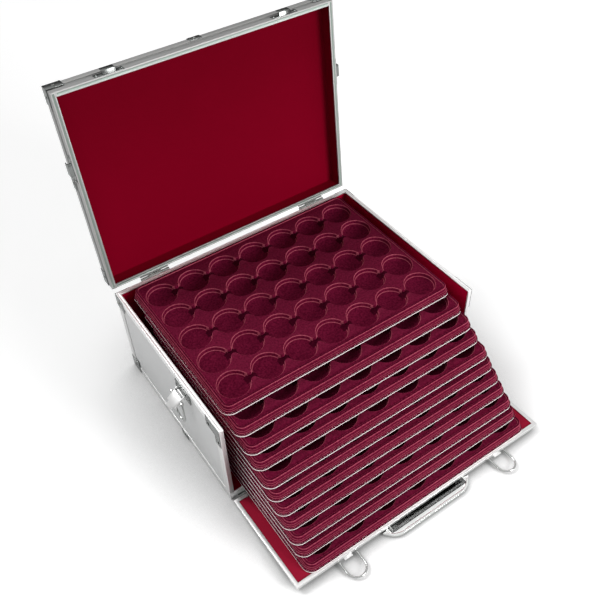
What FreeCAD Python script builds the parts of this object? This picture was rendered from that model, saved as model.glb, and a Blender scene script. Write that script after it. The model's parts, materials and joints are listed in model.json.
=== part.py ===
"""A coin case: an aluminium-edged case with a lid hinged at the back, a front flap hinged at the bottom,
eleven flocked coin trays that slide out over the open flap, a carrying handle and four draw latches.

Millimetres. The origin is the centre of the case's base. +X runs along the hinges, to the right as seen
from the front, -Y is the front, where the trays come out, and z = 0 is the surface that the case stands on.
The lid, the flap and what they carry are drawn in their closed place and then turned open about their pins.
"""
import FreeCAD, Part
import os
import re
from math import pi

import Sketcher

# Driving sizes, in millimetres and degrees, with what each one is.
SIZES = [
    ("case_width", 400, "outside width of body, lid and flap"),
    ("case_height", 150, "height of the body without the lid"),
    ("body_depth", 286, "outside depth of the body, from its back face to its side walls' front ends"),
    ("lid_height", 26.5, "height of the closed lid"),
    ("frame_gauge", 1.0, "thickness of every aluminium profile"),
    ("board_thickness", 3.2, "thickness of the wall panels"),
    ("lining_thickness", 0.8, "thickness of the velvet lining with its paper back"),
    ("outer_flange", 12, "width of the profiles on the outside"),
    ("inner_flange", 2, "width of the profiles' inner flanges"),
    ("lid_rim_flange", 10, "outside width of the lid's rim profile"),
    ("flap_border", 5, "width of the profile round the flap's inner face"),
    ("floor_over_flap", 0.07, "padded floor above the highest edge of the open flap"),
    ("seam_gap", 0.3, "gap between the closed lid and the body's rim"),
    ("flap_gap", 0.5, "gap between the closed flap and the side walls' front ends"),
    ("lid_open_angle", 95.2, "how far the lid stands open"),
    ("flap_open_angle", 88, "how far the flap lies open"),
    # The two stop hinges of the lid.
    ("hinge_inset", 64, "middle of each lid hinge from the side's face"),
    ("hinge_length", 44, "length of each lid hinge"),
    ("hinge_end_knuckle", 11, "length of each of the two outer knuckles"),
    ("hinge_stand_off", 1.5, "gap between the knuckles and the back face"),
    ("hinge_pin_radius", 1.2, "radius of the hinge pin"),
    ("hinge_knuckle_radius", 3.0, "outer radius of the knuckles"),
    ("hinge_leaf_gauge", 1.2, "thickness of the hinge leaves"),
    ("hinge_leaf_height", 22, "height of each leaf on its wall"),
    # The piano hinge of the flap.
    ("piano_end_gap", 10, "ends of the flap's hinge from the side's face"),
    ("piano_knuckles", 9, "number of its knuckles"),
    ("piano_ground_gap", 0.5, "its knuckles above the base"),
    ("piano_pin_radius", 0.8, "radius of its pin"),
    ("piano_knuckle_radius", 2.0, "outer radius of its knuckles"),
    ("piano_leaf_gauge", 1.0, "thickness of its leaves"),
    ("piano_leaf_height", 11, "height of its leaf on the flap"),
    ("body_leaf_height", 3.8, "height of its leaf on the body"),
    ("pin_clearance", 0.06, "radial clearance between a pin and its bore"),
    ("running_gap", 0.3, "gap between pieces that turn or slide past each other"),
    # Brackets and clips.
    ("bracket_gauge", 0.8, "thickness of the corner brackets and clips"),
    ("bracket_reach", 22, "length of a corner bracket along each edge"),
    ("lid_bracket_height", 14, "height of the lid's corner brackets"),
    ("front_bracket_reach", 33, "length of the front brackets along the top edge"),
    ("front_bracket_drop", 34, "height of the front brackets"),
    ("front_bracket_band", 19, "height of the front brackets' upper arm"),
    ("bracket_arm", 13, "width of the front brackets' lower arm"),
    ("rivet_radius", 2.0, "radius of the rivet heads"),
    ("rivet_height", 0.8, "height of the rivet heads"),
    ("rivet_inset", 5, "middle of a front bracket's rivets from its arms' ends"),
    ("clip_length", 18, "length of the clips along an edge"),
    ("clip_height", 9, "height of the clips"),
    ("clip_back", 123, "middle of the side clips from the side walls' front ends"),
    # The draw latches.
    ("front_latch_inset", 75, "middle of each front latch from the side's face"),
    ("side_latch_back", 95, "middle of each side latch from the side walls' front ends"),
    ("latch_pivot_drop", 22, "lever pin below the body's top"),
    ("latch_back_gap", 0.2, "gap between the lever and its base plate"),
    ("latch_plate_margin", 0.7, "base plate past its screw heads"),
    ("latch_plate_height", 16, "height of a latch's base plate"),
    ("latch_plate_gauge", 0.6, "thickness of a latch's base plate"),
    ("latch_screw_gap", 0.2, "gap between the loop's legs and the screw heads"),
    ("latch_screw_radius", 1.8, "radius of the screw heads"),
    ("latch_screw_height", 0.9, "height of the screw heads"),
    ("ear_outer", 8.5, "outer face of the base plate's ears from the latch's middle"),
    ("ear_gauge", 1.0, "thickness of the ears"),
    ("ear_radius", 2.4, "half height of the ears about the lever pin"),
    ("cheek_gap", 0.7, "gap between an ear and the lever's cheek"),
    ("lever_gauge", 1.0, "thickness of the lever's sheet"),
    ("lever_length", 24, "length of the lever from its pin"),
    ("lever_cheek_length", 14, "length of the lever's cheeks from its pin"),
    ("lever_pin_radius", 1.0, "radius of the lever's pin"),
    ("lever_tip_width", 12, "width of the lever's finger tip"),
    ("lever_tip_length", 6, "length of the finger tip"),
    ("trunnion_offset", 8, "loop's trunnion from the lever's pin"),
    ("trunnion_radius", 1.2, "radius of the trunnion"),
    ("loop_wire_radius", 1.3, "radius of the loop's wire"),
    ("eye_radius", 2.3, "radius of the eyes at the loop's ends"),
    ("eye_length", 3.0, "length of the eyes along the trunnion"),
    ("eye_gap", 1.5, "gap between a lever's cheek and the loop's eye"),
    ("loop_reach", 42.5, "middle of the loop's round end from its trunnion"),
    ("side_lever_angle", 130, "how far the side levers have fallen from upright"),
    # The catches on the lid.
    ("catch_plate_drop", 6.5, "depth of a catch's plate below the top of its hook's block"),
    ("catch_plate_rise", 3.0, "height of a catch's plate above the top of its hook's block"),
    ("catch_side_gap", 3.4, "gap between the hook and the loop's legs"),
    ("catch_gap", 0.2, "gap between the latched loop and the hook's lip"),
    ("catch_lip_gauge", 1.1, "thickness of the hook's lip"),
    ("catch_lip_rise", 5.2, "height of the hook's lip over its block"),
    ("catch_hook_height", 5, "height of the hook's block"),
    # The handle.
    ("handle_pivot_drop", 19, "handle pins below the body's top with the flap closed"),
    ("handle_back_gap", 1.1, "gap between the handle and the flap's face"),
    ("handle_half_span", 62, "middle of each handle leg from the handle's middle"),
    ("handle_leg_width", 8, "width of the handle's legs"),
    ("handle_thickness", 4.8, "thickness of the handle's bow"),
    ("handle_reach", 34.7, "outer edge of the handle from its pins"),
    ("handle_bar_width", 11.7, "width of the handle's bar"),
    ("handle_shoulder_width", 6, "width of the handle's shoulders outside its legs"),
    ("handle_shoulder_drop", 3, "shoulders below the bar's inner edge"),
    ("handle_bar_half", 58, "half the length of the bar's straight outer edge"),
    ("handle_pad_width", 7.5, "width of the black pad inside the bar"),
    ("handle_pad_gap", 8, "gap between the black pad's ends and the legs"),
    ("handle_pin_radius", 1.5, "radius of the handle's pins"),
    ("handle_ear_gauge", 1.0, "thickness of the handle mounts' ears"),
    ("handle_ear_gap", 0.4, "gap between a handle leg and its ears"),
    ("handle_ear_radius", 2.4, "half height of the handle mounts' ears"),
    ("handle_leg_tail", 2.3, "how far a handle leg runs past its pin"),
    # The trays.
    ("tray_side_gap", 13, "gap between a tray's edge and the walls' inner flanges"),
    ("tray_front_gap", 17.4, "a pushed-in tray's edge from the side walls' front ends"),
    ("tray_corner", 14, "corner radius of a tray's edge"),
    ("tray_height", 12.5, "height of a tray"),
    ("tray_back_gap", 0.4, "gap behind a tray that is pushed in"),
    ("tray_edge_gauge", 1.0, "thickness of a tray's flat edge"),
    ("tray_edge_width", 2, "width of the flat edge"),
    ("tray_step_height", 8, "top of the step in a tray's side"),
    ("tray_step_width", 1.5, "width of the step"),
    ("tray_skin", 1.2, "thickness of the formed sheet"),
    ("tray_rim_width", 3.6, "width of the raised rim"),
    ("tray_rim_rise", 1.0, "rim above the field of pockets"),
    ("pocket_gap_across", 5.8, "gap between two rings across"),
    ("pocket_gap_deep", 4.1, "gap between two rings from front to back"),
    ("seat_radius", 20, "radius of a coin's seat"),
    ("seat_depth", 8.5, "depth of a coin's seat below the field"),
    ("ring_width", 2, "width of the ring round a seat, where its wall leans"),
    ("ring_depth", 4, "depth of the ring and the necks below the field"),
    ("neck_width", 9, "width of the neck between two rings"),
    ("bore_overrun", 1, "how far a bore's tool runs past its piece"),
]

# How far each tray is pulled out, from the top tray to the lowest one.
PULLED_OUT = [0, 27.7, 49.1, 65.3, 85.7, 97.6, 111.8, 125.3, 140.6, 151.2, 167.2]

V = FreeCAD.Vector
doc = FreeCAD.newDocument("coin_case")
sheet = doc.addObject("Spreadsheet::Sheet", "sizes")
for row, (alias, number, meaning) in enumerate(SIZES, 1):
    sheet.set(f"A{row}", meaning)
    sheet.set(f"B{row}", str(number))
    sheet.setAlias(f"B{row}", alias)
for tray, pulled in enumerate(PULLED_OUT, 1):
    row = len(SIZES) + tray
    sheet.set(f"A{row}", f"how far tray {tray} is pulled out")
    sheet.set(f"B{row}", str(pulled))
    sheet.setAlias(f"B{row}", f"pulled_{tray:02d}")
doc.recompute()

NUMBERS = {alias: number for alias, number, meaning in SIZES}
ALIASES = set(NUMBERS) | {f"pulled_{n:02d}" for n in range(1, len(PULLED_OUT) + 1)}
WORD = re.compile(r"[A-Za-z_]\w*")
nodes = []


# Expressions and small shapes.
def bound(text):
    """The text with each size's word pointing at its cell of the sheet."""
    def cell(word):
        return f"sizes.{word.group()}" if word.group() in ALIASES else word.group()

    return WORD.sub(cell, str(text))


def bind(item, prop, text):
    item.setExpression(prop, bound(text))


def box(name, x, y, z):
    """A box between two expressions along each axis."""
    item = doc.addObject("Part::Box", name)
    for prop, (low, high) in (("Length", x), ("Width", y), ("Height", z)):
        bind(item, prop, f"({high}) - ({low})")
    for axis, (low, high) in (("x", x), ("y", y), ("z", z)):
        bind(item, f"Placement.Base.{axis}", low)
    return item


TURNS = {"x": FreeCAD.Rotation(V(0, 1, 0), 90),
         "y": FreeCAD.Rotation(V(1, 0, 0), -90),
         "z": FreeCAD.Rotation()}


def rod(name, along, low, high, centre, radius):
    """A cylinder along one axis. centre holds its place along the other two, in x, y, z order."""
    item = doc.addObject("Part::Cylinder", name)
    item.Placement = FreeCAD.Placement(V(), TURNS[along])
    bind(item, "Radius", radius)
    bind(item, "Height", f"({high}) - ({low})")
    bind(item, f"Placement.Base.{along}", low)
    for axis, text in zip([axis for axis in "xyz" if axis != along], centre):
        bind(item, f"Placement.Base.{axis}", text)
    return item


def fuse(name, pieces):
    """One solid from pieces that touch or overlap."""
    item = doc.addObject("Part::MultiFuse", name)
    item.Shapes = pieces
    item.Refine = True
    return item


def cut(name, base, tool):
    item = doc.addObject("Part::Cut", name)
    item.Base = base
    item.Tool = tool
    return item


def node(label, pieces, pose=None):
    """A sub-part: its separate solids under one label, turned to where it stands by the pose."""
    item = doc.addObject("Part::Compound", f"node_{label}")
    item.Label = label
    item.Links = pieces
    if pose:
        bind(item, "Placement", pose)
    nodes.append(item)
    return item


def mirrored(text):
    """A low and high expression on the other side of the middle plane."""
    low, high = text
    return (f"-({high})", f"-({low})")


def swapped(pair):
    """The same two expressions in the other order, for a wall whose outer face is its high one."""
    return (pair[1], pair[0])


def plane(body, role):
    return next(feature for feature in body.Origin.OriginFeatures if feature.Role == role)


def new_body(name):
    body = doc.addObject("PartDesign::Body", name)
    doc.recompute()
    return body


def sketch_on(body, name, role, height="0"):
    """A sketch flat on one of the body's own origin planes, raised along the plane's normal."""
    sketch = body.newObject("Sketcher::SketchObject", name)
    sketch.AttachmentSupport = [(plane(body, role), "")]
    sketch.MapMode = "FlatFace"
    bind(sketch, "AttachmentOffset.Base.z", height)
    return sketch


def held(sketch, constraint, text):
    """Add a constraint whose value is an expression."""
    number = sketch.addConstraint(constraint)
    bind(sketch, f"Constraints[{number}]", text)


def circle(sketch, x, y, radius):
    number = sketch.addGeometry(Part.Circle(V(5, 5, 0), V(0, 0, 1), 3), False)
    held(sketch, Sketcher.Constraint("DistanceX", -1, 1, number, 3, 5), x)
    held(sketch, Sketcher.Constraint("DistanceY", -1, 1, number, 3, 5), y)
    held(sketch, Sketcher.Constraint("Radius", number, 3), radius)


def polygon(sketch, points, start):
    """A closed outline. points holds expressions, start holds rough numbers with the same turns."""
    first = sketch.GeometryCount
    count = len(points)
    for k in range(count):
        ends = [V(*start[k], 0), V(*start[(k + 1) % count], 0)]
        sketch.addGeometry(Part.LineSegment(*ends), False)
    for k in range(count):
        sketch.addConstraint(Sketcher.Constraint("Coincident", first + k, 2, first + (k + 1) % count, 1))
    for k, (across, up) in enumerate(points):
        held(sketch, Sketcher.Constraint("DistanceX", -1, 1, first + k, 1, start[k][0]), across)
        held(sketch, Sketcher.Constraint("DistanceY", -1, 1, first + k, 1, start[k][1]), up)


def rounded_rectangle(sketch, width, depth, radius):
    """A rectangle with round corners, centred on the sketch's origin."""
    a, b, r = 50, 40, 10
    runs = ((-a + r, -b, a - r, -b), (a, -b + r, a, b - r), (a - r, b, -a + r, b), (-a, b - r, -a, -b + r))
    for x0, y0, x1, y1 in runs:
        sketch.addGeometry(Part.LineSegment(V(x0, y0, 0), V(x1, y1, 0)), False)
    corners = ((a - r, -b + r), (a - r, b - r), (-a + r, b - r), (-a + r, -b + r))
    for k, (x, y) in enumerate(corners):
        ring = Part.Circle(V(x, y, 0), V(0, 0, 1), r)
        sketch.addGeometry(Part.ArcOfCircle(ring, (k - 1) * pi / 2, k * pi / 2), False)
    for k in range(4):
        sketch.addConstraint(Sketcher.Constraint("Tangent", k, 2, 4 + k, 1))
        sketch.addConstraint(Sketcher.Constraint("Tangent", 4 + k, 2, (k + 1) % 4, 1))
        sketch.addConstraint(Sketcher.Constraint("Vertical" if k % 2 else "Horizontal", k))
        if k:
            sketch.addConstraint(Sketcher.Constraint("Equal", 4, 4 + k))
    sides = (("DistanceY", -b, f"-({depth}) / 2"), ("DistanceX", a, f"({width}) / 2"),
             ("DistanceY", b, f"({depth}) / 2"), ("DistanceX", -a, f"-({width}) / 2"))
    for k, (kind, start, text) in enumerate(sides):
        held(sketch, Sketcher.Constraint(kind, -1, 1, k, 1, start), text)
    held(sketch, Sketcher.Constraint("Radius", 4, r), radius)


def pad(body, name, sketch, length):
    feature = body.newObject("PartDesign::Pad", name)
    feature.Profile = sketch
    bind(feature, "Length", length)
    return feature


def pocket(body, name, sketch, length, upward=False):
    feature = body.newObject("PartDesign::Pocket", name)
    feature.Profile = sketch
    feature.Reversed = upward
    bind(feature, "Length", length)
    return feature


def grid(body, name, features, columns, rows):
    """Repeat the features across and deep, at the pockets' pitch."""
    both = body.newObject("PartDesign::MultiTransform", name)
    both.Originals = features
    patterns = []
    for suffix, role, pitch, count in (("across", "X_Axis", PITCH_ACROSS, columns),
                                       ("deep", "Y_Axis", PITCH_DEEP, rows)):
        pattern = body.newObject("PartDesign::LinearPattern", f"{name}_{suffix}")
        pattern.Direction = (plane(body, role), [""])
        bind(pattern, "Length", f"{pitch} * ({count} - 1)")
        bind(pattern, "Occurrences", count)
        patterns.append(pattern)
    both.Transformations = patterns
    body.Tip = both


# Where the layers of the walls lie, from the outside in. Each list holds the distances of the outer face,
# the panel's outer and inner faces, the lining's inner face and the wall's inner face.
def layers(outer):
    panel = f"({outer} - frame_gauge)"
    panel_in = f"({panel} - board_thickness)"
    lined = f"({panel_in} - lining_thickness)"
    inner = f"({lined} - frame_gauge)"
    return [outer, panel, panel_in, lined, inner]


SIDE = layers("case_width / 2")
BACK = layers("body_depth / 2")
WALL = "(2 * frame_gauge + board_thickness + lining_thickness)"
FRONT_END = "-body_depth / 2"
FRONT = layers(f"(body_depth / 2 + flap_gap + {WALL})")
TOP = "case_height"
LID_LOW = "(case_height + seam_gap)"
LID_TOP = layers(f"({LID_LOW} + lid_height)")
BOARD_TOP = "(frame_gauge + board_thickness + lining_thickness)"


def opened(angle, y, z):
    """A turn about a hinge pin that lies along X."""
    return f"placement(vector(0; 0; 0); rotation(vector(1; 0; 0); {angle}); vector(0; {y}; {z}))"


# The hinge pins, and the flap's lower and upper edges while it is closed.
LID_PIN_Y = "(body_depth / 2 + hinge_stand_off + hinge_knuckle_radius)"
LID_PIN_Z = "(case_height - hinge_knuckle_radius)"
LID_OPEN = opened("-lid_open_angle", LID_PIN_Y, LID_PIN_Z)
FLAP_PIN_IN = "(piano_knuckle_radius - piano_leaf_gauge)"
FLAP_PIN_Y = f"-({FRONT[0]} - {FLAP_PIN_IN})"
FLAP_PIN_Z = "(piano_ground_gap + piano_knuckle_radius)"
FLAP_OPEN = opened("flap_open_angle", FLAP_PIN_Y, FLAP_PIN_Z)
FLAP_LOW = f"({FLAP_PIN_Z} + piano_knuckle_radius + running_gap)"
FLAP_HIGH = "(case_height - seam_gap)"
PIANO_HALF = "(case_width / 2 - piano_end_gap)"

# The padded floor is as high as the open flap's highest edge, so that the trays slide out over both.
FLAP_INSIDE = f"(({WALL} - {FLAP_PIN_IN}) * sin(flap_open_angle))"
FLAP_TILT = f"(({FLAP_HIGH} - {FLAP_PIN_Z}) * cos(flap_open_angle))"
FLOOR = f"({FLAP_PIN_Z} + {FLAP_INSIDE} + {FLAP_TILT} + floor_over_flap)"
CLIP = f"({FRONT_END} + clip_back)"
CLIP_SPAN = (f"{CLIP} - clip_length / 2", f"{CLIP} + clip_length / 2")

# The latches, from their middle outwards, and the catches that their loops hold.
FRONT_LATCH = f"({SIDE[0]} - front_latch_inset)"
SIDE_LATCH = f"({FRONT_END} + side_latch_back)"
LATCH_Z = "(case_height - latch_pivot_drop)"
LATCH_OUT = "(latch_plate_gauge + latch_back_gap + ear_radius)"
LEVER = "(ear_outer + cheek_gap + lever_gauge)"
LOOP = f"({LEVER} + eye_gap + eye_length / 2)"
SCREW = f"({LOOP} + loop_wire_radius + latch_screw_gap + latch_screw_radius)"
LATCH_PLATE = f"({SCREW} + latch_screw_radius + latch_plate_margin)"
HOOK = f"({LOOP} - loop_wire_radius - catch_side_gap)"
HOOK_OUT = f"({LATCH_OUT} + loop_wire_radius + catch_gap + catch_lip_gauge)"
CATCH_Z = f"({LATCH_Z} - trunnion_offset + loop_reach - catch_lip_rise)"

# The trays' outline, their pockets and how many of these fit.
TRAY_WIDTH = f"(2 * ({SIDE[4]} - tray_side_gap))"
TRAY_DEPTH = f"(body_depth - {WALL} - tray_back_gap - tray_front_gap)"
TRAY_WALL = "(tray_edge_width + tray_step_width)"
TRAY_RIM = f"({TRAY_WALL} + tray_rim_width)"
TRAY_PITCH = "(tray_height + running_gap)"
RING = "(seat_radius + ring_width)"
PITCH_ACROSS = f"(2 * {RING} + pocket_gap_across)"
PITCH_DEEP = f"(2 * {RING} + pocket_gap_deep)"
COLUMNS = f"(floor(({TRAY_WIDTH} - 2 * {TRAY_RIM} - 2 * {RING}) / {PITCH_ACROSS}) + 1)"
ROWS = f"(floor(({TRAY_DEPTH} - 2 * {TRAY_RIM} - 2 * {RING}) / {PITCH_DEEP}) + 1)"


# The body's panels and linings.
def body_walls():
    side = (SIDE[2], SIDE[1])
    height = ("frame_gauge", f"{TOP} - frame_gauge")
    depth = (f"{FRONT_END} + frame_gauge", BACK[1])
    node("side_board_left", [box("left_panel", mirrored(side), depth, height)])
    node("side_board_right", [box("right_panel", side, depth, height)])
    inside = (f"-{SIDE[2]}", SIDE[2])
    node("back_board", [box("back_panel", inside, (BACK[2], BACK[1]), height)])

    # The bottom panel is rebated round its edge for the base profiles, so its middle reaches the ground.
    plate = box("bottom_plate", inside, (depth[0], BACK[2]), ("frame_gauge", BOARD_TOP))
    middle_x = f"{SIDE[0]} - outer_flange - running_gap"
    middle_y = "body_depth / 2 - outer_flange - running_gap"
    middle = box("bottom_middle", (f"-({middle_x})", middle_x), (f"-({middle_y})", middle_y), ("0", BOARD_TOP))
    node("bottom_board", [fuse("bottom_panel", [plate, middle])])

    lined = (SIDE[3], SIDE[2])
    lined_height = (BOARD_TOP, f"{TOP} - frame_gauge")
    lined_depth = (depth[0], BACK[3])
    linings = [box("right_lining", lined, lined_depth, lined_height),
               box("left_lining", mirrored(lined), lined_depth, lined_height)]
    node("side_linings", linings)
    node("back_lining", [box("back_cloth", inside, (BACK[3], BACK[2]), lined_height)])
    pad_y = (f"{FRONT_END} + inner_flange", BACK[3])
    node("bottom_pad", [box("floor_cloth", (f"-{SIDE[3]}", SIDE[3]), pad_y, (BOARD_TOP, FLOOR))])


# The body's aluminium profiles.
def body_profiles():
    out, panel, cloth, inner = SIDE[0], SIDE[1], SIDE[3], SIDE[4]
    whole = (FRONT_END, BACK[0])
    top_web = (f"{TOP} - frame_gauge", TOP)
    outer_band = (f"{TOP} - outer_flange", f"{TOP} - frame_gauge")
    inner_band = (f"{TOP} - inner_flange", f"{TOP} - frame_gauge")
    rims = []
    bases = []
    ends = []
    for hand, turn in (("right", tuple), ("left", mirrored)):
        rims.append(fuse(f"{hand}_rim", [
            box(f"{hand}_rim_web", turn((inner, out)), whole, top_web),
            box(f"{hand}_rim_outer", turn((panel, out)), whole, outer_band),
            box(f"{hand}_rim_inner", turn((inner, cloth)), (FRONT_END, BACK[3]), inner_band)]))
        bases.append(fuse(f"{hand}_base", [
            box(f"{hand}_base_outer", turn((panel, out)), whole, ("0", "outer_flange")),
            box(f"{hand}_base_under", turn((f"{out} - outer_flange", panel)),
                (f"{FRONT_END} + frame_gauge", BACK[1]), ("0", "frame_gauge"))]))
        ends.append(fuse(f"{hand}_end", [
            box(f"{hand}_end_web", turn((cloth, panel)), (FRONT_END, f"{FRONT_END} + frame_gauge"),
                (FLOOR, f"{TOP} - frame_gauge")),
            box(f"{hand}_end_outer", turn((panel, out)), (FRONT_END, f"{FRONT_END} + outer_flange"),
                ("outer_flange", f"{TOP} - outer_flange")),
            box(f"{hand}_end_inner", turn((inner, cloth)), (FRONT_END, f"{FRONT_END} + inner_flange"),
                (FLOOR, f"{TOP} - inner_flange"))]))
    across = (f"-{inner}", inner)
    back_across = (f"-{panel}", panel)
    rims.append(fuse("back_rim", [
        box("back_rim_web", across, (BACK[4], BACK[0]), top_web),
        box("back_rim_outer", back_across, (BACK[1], BACK[0]), outer_band),
        box("back_rim_inner", across, (BACK[4], BACK[3]), inner_band)]))
    under = f"{out} - outer_flange"
    bases.append(fuse("back_base", [
        box("back_base_outer", back_across, (BACK[1], BACK[0]), ("0", "outer_flange")),
        box("back_base_under", (f"-({under})", under), (f"{BACK[0]} - outer_flange", BACK[0]),
            ("0", "frame_gauge"))]))
    bases.append(fuse("front_sill", [
        box("sill_face", back_across, (FRONT_END, f"{FRONT_END} + frame_gauge"), ("0", FLOOR)),
        box("sill_under", (f"-({under})", under), (FRONT_END, f"{FRONT_END} + outer_flange"),
            ("0", "frame_gauge")),
        box("sill_lip", (f"-{cloth}", cloth), (FRONT_END, f"{FRONT_END} + inner_flange"),
            (f"{FLOOR} - frame_gauge", FLOOR))]))
    node("rim_profiles", rims)
    node("base_profiles", bases)
    node("front_end_profiles", ends)

    corners = []
    for hand, turn in (("right", tuple), ("left", mirrored)):
        corners.append(fuse(f"{hand}_corner", [
            box(f"{hand}_corner_side", turn((panel, out)), (f"{BACK[0]} - outer_flange", BACK[0]),
                ("outer_flange", f"{TOP} - outer_flange")),
            box(f"{hand}_corner_back", turn((f"{out} - outer_flange", panel)), (BACK[1], BACK[0]),
                ("outer_flange", f"{TOP} - outer_flange"))]))
    node("rear_corner_profiles", corners)


# The body's brackets, clips and rivets.
def body_brackets():
    side_plate = (SIDE[0], f"{SIDE[0]} + bracket_gauge")
    back_plate = (BACK[0], f"{BACK[0]} + bracket_gauge")
    head = (side_plate[1], f"{side_plate[1]} + rivet_height")
    back_head = (back_plate[1], f"{back_plate[1]} + rivet_height")
    reach_y = (f"{BACK[0]} - bracket_reach", back_plate[1])
    reach_x = (f"{SIDE[0]} - bracket_reach", side_plate[1])
    brackets = []
    rivets = []
    for hand, turn in (("right", tuple), ("left", mirrored)):
        brackets.append(fuse(f"{hand}_front_bracket", [
            box(f"{hand}_front_bracket_top", turn(side_plate), (FRONT_END, f"{FRONT_END} + front_bracket_reach"),
                (f"{TOP} - front_bracket_band", TOP)),
            box(f"{hand}_front_bracket_leg", turn(side_plate), (FRONT_END, f"{FRONT_END} + bracket_arm"),
                (f"{TOP} - front_bracket_drop", TOP))]))
        for spot, y, z in (("top", f"{FRONT_END} + front_bracket_reach - rivet_inset",
                            f"{TOP} - front_bracket_band + rivet_inset"),
                           ("leg", f"{FRONT_END} + bracket_arm / 2",
                            f"{TOP} - front_bracket_drop + rivet_inset")):
            rivets.append(rod(f"{hand}_front_rivet_{spot}", "x", *turn(head), (y, z), "rivet_radius"))
        for level, low in (("top", f"{TOP} - bracket_reach"), ("foot", "0")):
            high = f"{low} + bracket_reach"
            middle = f"{low} + bracket_reach / 2"
            brackets.append(fuse(f"{hand}_{level}_bracket", [
                box(f"{hand}_{level}_bracket_side", turn(side_plate), reach_y, (low, high)),
                box(f"{hand}_{level}_bracket_back", turn(reach_x), back_plate, (low, high))]))
            rivets.append(rod(f"{hand}_{level}_rivet_side", "x", *turn(head),
                              (f"{BACK[0]} - bracket_reach / 2", middle), "rivet_radius"))
            place = f"{SIDE[0]} - bracket_reach / 2"
            if hand == "left":
                place = f"-({place})"
            rivets.append(rod(f"{hand}_{level}_rivet_back", "y", *back_head, (place, middle), "rivet_radius"))
    node("body_corner_brackets", brackets)

    clips = []
    for hand, turn in (("right", tuple), ("left", mirrored)):
        clips.append(box(f"{hand}_base_clip", turn(side_plate), CLIP_SPAN, ("0", "clip_height")))
        rivets.append(rod(f"{hand}_base_clip_rivet", "x", *turn(head), (CLIP, "clip_height / 2"), "rivet_radius"))
    node("body_edge_clips", clips)
    node("body_rivets", rivets)


# The lid, drawn closed.
def lid():
    low = LID_LOW
    top, top_panel, top_panel_in, top_cloth = LID_TOP[:4]
    out, panel, panel_in, cloth, inner = SIDE
    back, back_panel, back_panel_in, back_cloth, back_inner = BACK
    front, front_panel, front_panel_in, front_cloth, front_inner = [f"-{text}" for text in FRONT]
    above = f"{low} + frame_gauge"
    height = (above, top_panel)
    inside = (f"-{panel_in}", panel_in)
    board = box("lid_panel", inside, (front_panel_in, back_panel_in), (top_panel_in, top_panel))
    node("lid_top_board", [board], LID_OPEN)
    boards = [box("lid_right_board", (panel_in, panel), (front_panel, back_panel), height),
              box("lid_left_board", mirrored((panel_in, panel)), (front_panel, back_panel), height),
              box("lid_front_board", inside, (front_panel, front_panel_in), height),
              box("lid_back_board", inside, (back_panel_in, back_panel), height)]
    node("lid_side_boards", boards, LID_OPEN)

    block = box("lid_lining_block", inside, (front_panel_in, back_panel_in), (above, top_panel_in))
    room = box("lid_lining_room", (f"-{cloth}", cloth), (front_cloth, back_cloth), (low, top_cloth))
    node("lid_lining", [cut("lid_cloth", block, room)], LID_OPEN)

    rim_band = (above, f"{low} + lid_rim_flange")
    inner_band = (above, f"{low} + inner_flange")
    top_band = (f"{top} - lid_rim_flange", top)
    rims = []
    edges = []
    for hand, turn in (("right", tuple), ("left", mirrored)):
        rims.append(fuse(f"lid_{hand}_rim", [
            box(f"lid_{hand}_rim_web", turn((inner, out)), (front, back), (low, above)),
            box(f"lid_{hand}_rim_outer", turn((panel, out)), (front, back), rim_band),
            box(f"lid_{hand}_rim_inner", turn((inner, cloth)), (front_cloth, back_cloth), inner_band)]))
        edges.append(fuse(f"lid_{hand}_edge", [
            box(f"lid_{hand}_edge_side", turn((panel, out)), (front, back), top_band),
            box(f"lid_{hand}_edge_top", turn((f"{out} - outer_flange", out)), (front, back), (top_panel, top))]))
    across = (f"-{inner}", inner)
    long = (f"-{panel}", panel)
    short = f"{out} - outer_flange"
    for name, turn, outer, skin, lined, edge_in, lip in (
            ("front", tuple, front, front_panel, front_cloth, f"{front} + outer_flange", front_inner),
            ("back", swapped, back, back_panel, back_cloth, f"{back} - outer_flange", back_inner)):
        rims.append(fuse(f"lid_{name}_rim", [
            box(f"lid_{name}_rim_web", across, turn((outer, lip)), (low, above)),
            box(f"lid_{name}_rim_outer", long, turn((outer, skin)), rim_band),
            box(f"lid_{name}_rim_inner", across, turn((lined, lip)), inner_band)]))
        edges.append(fuse(f"lid_{name}_edge", [
            box(f"lid_{name}_edge_side", long, turn((outer, skin)), top_band),
            box(f"lid_{name}_edge_top", (f"-({short})", short), turn((outer, edge_in)), (top_panel, top))]))
    node("lid_rim_profiles", rims, LID_OPEN)
    node("lid_edge_profiles", edges, LID_OPEN)


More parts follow.
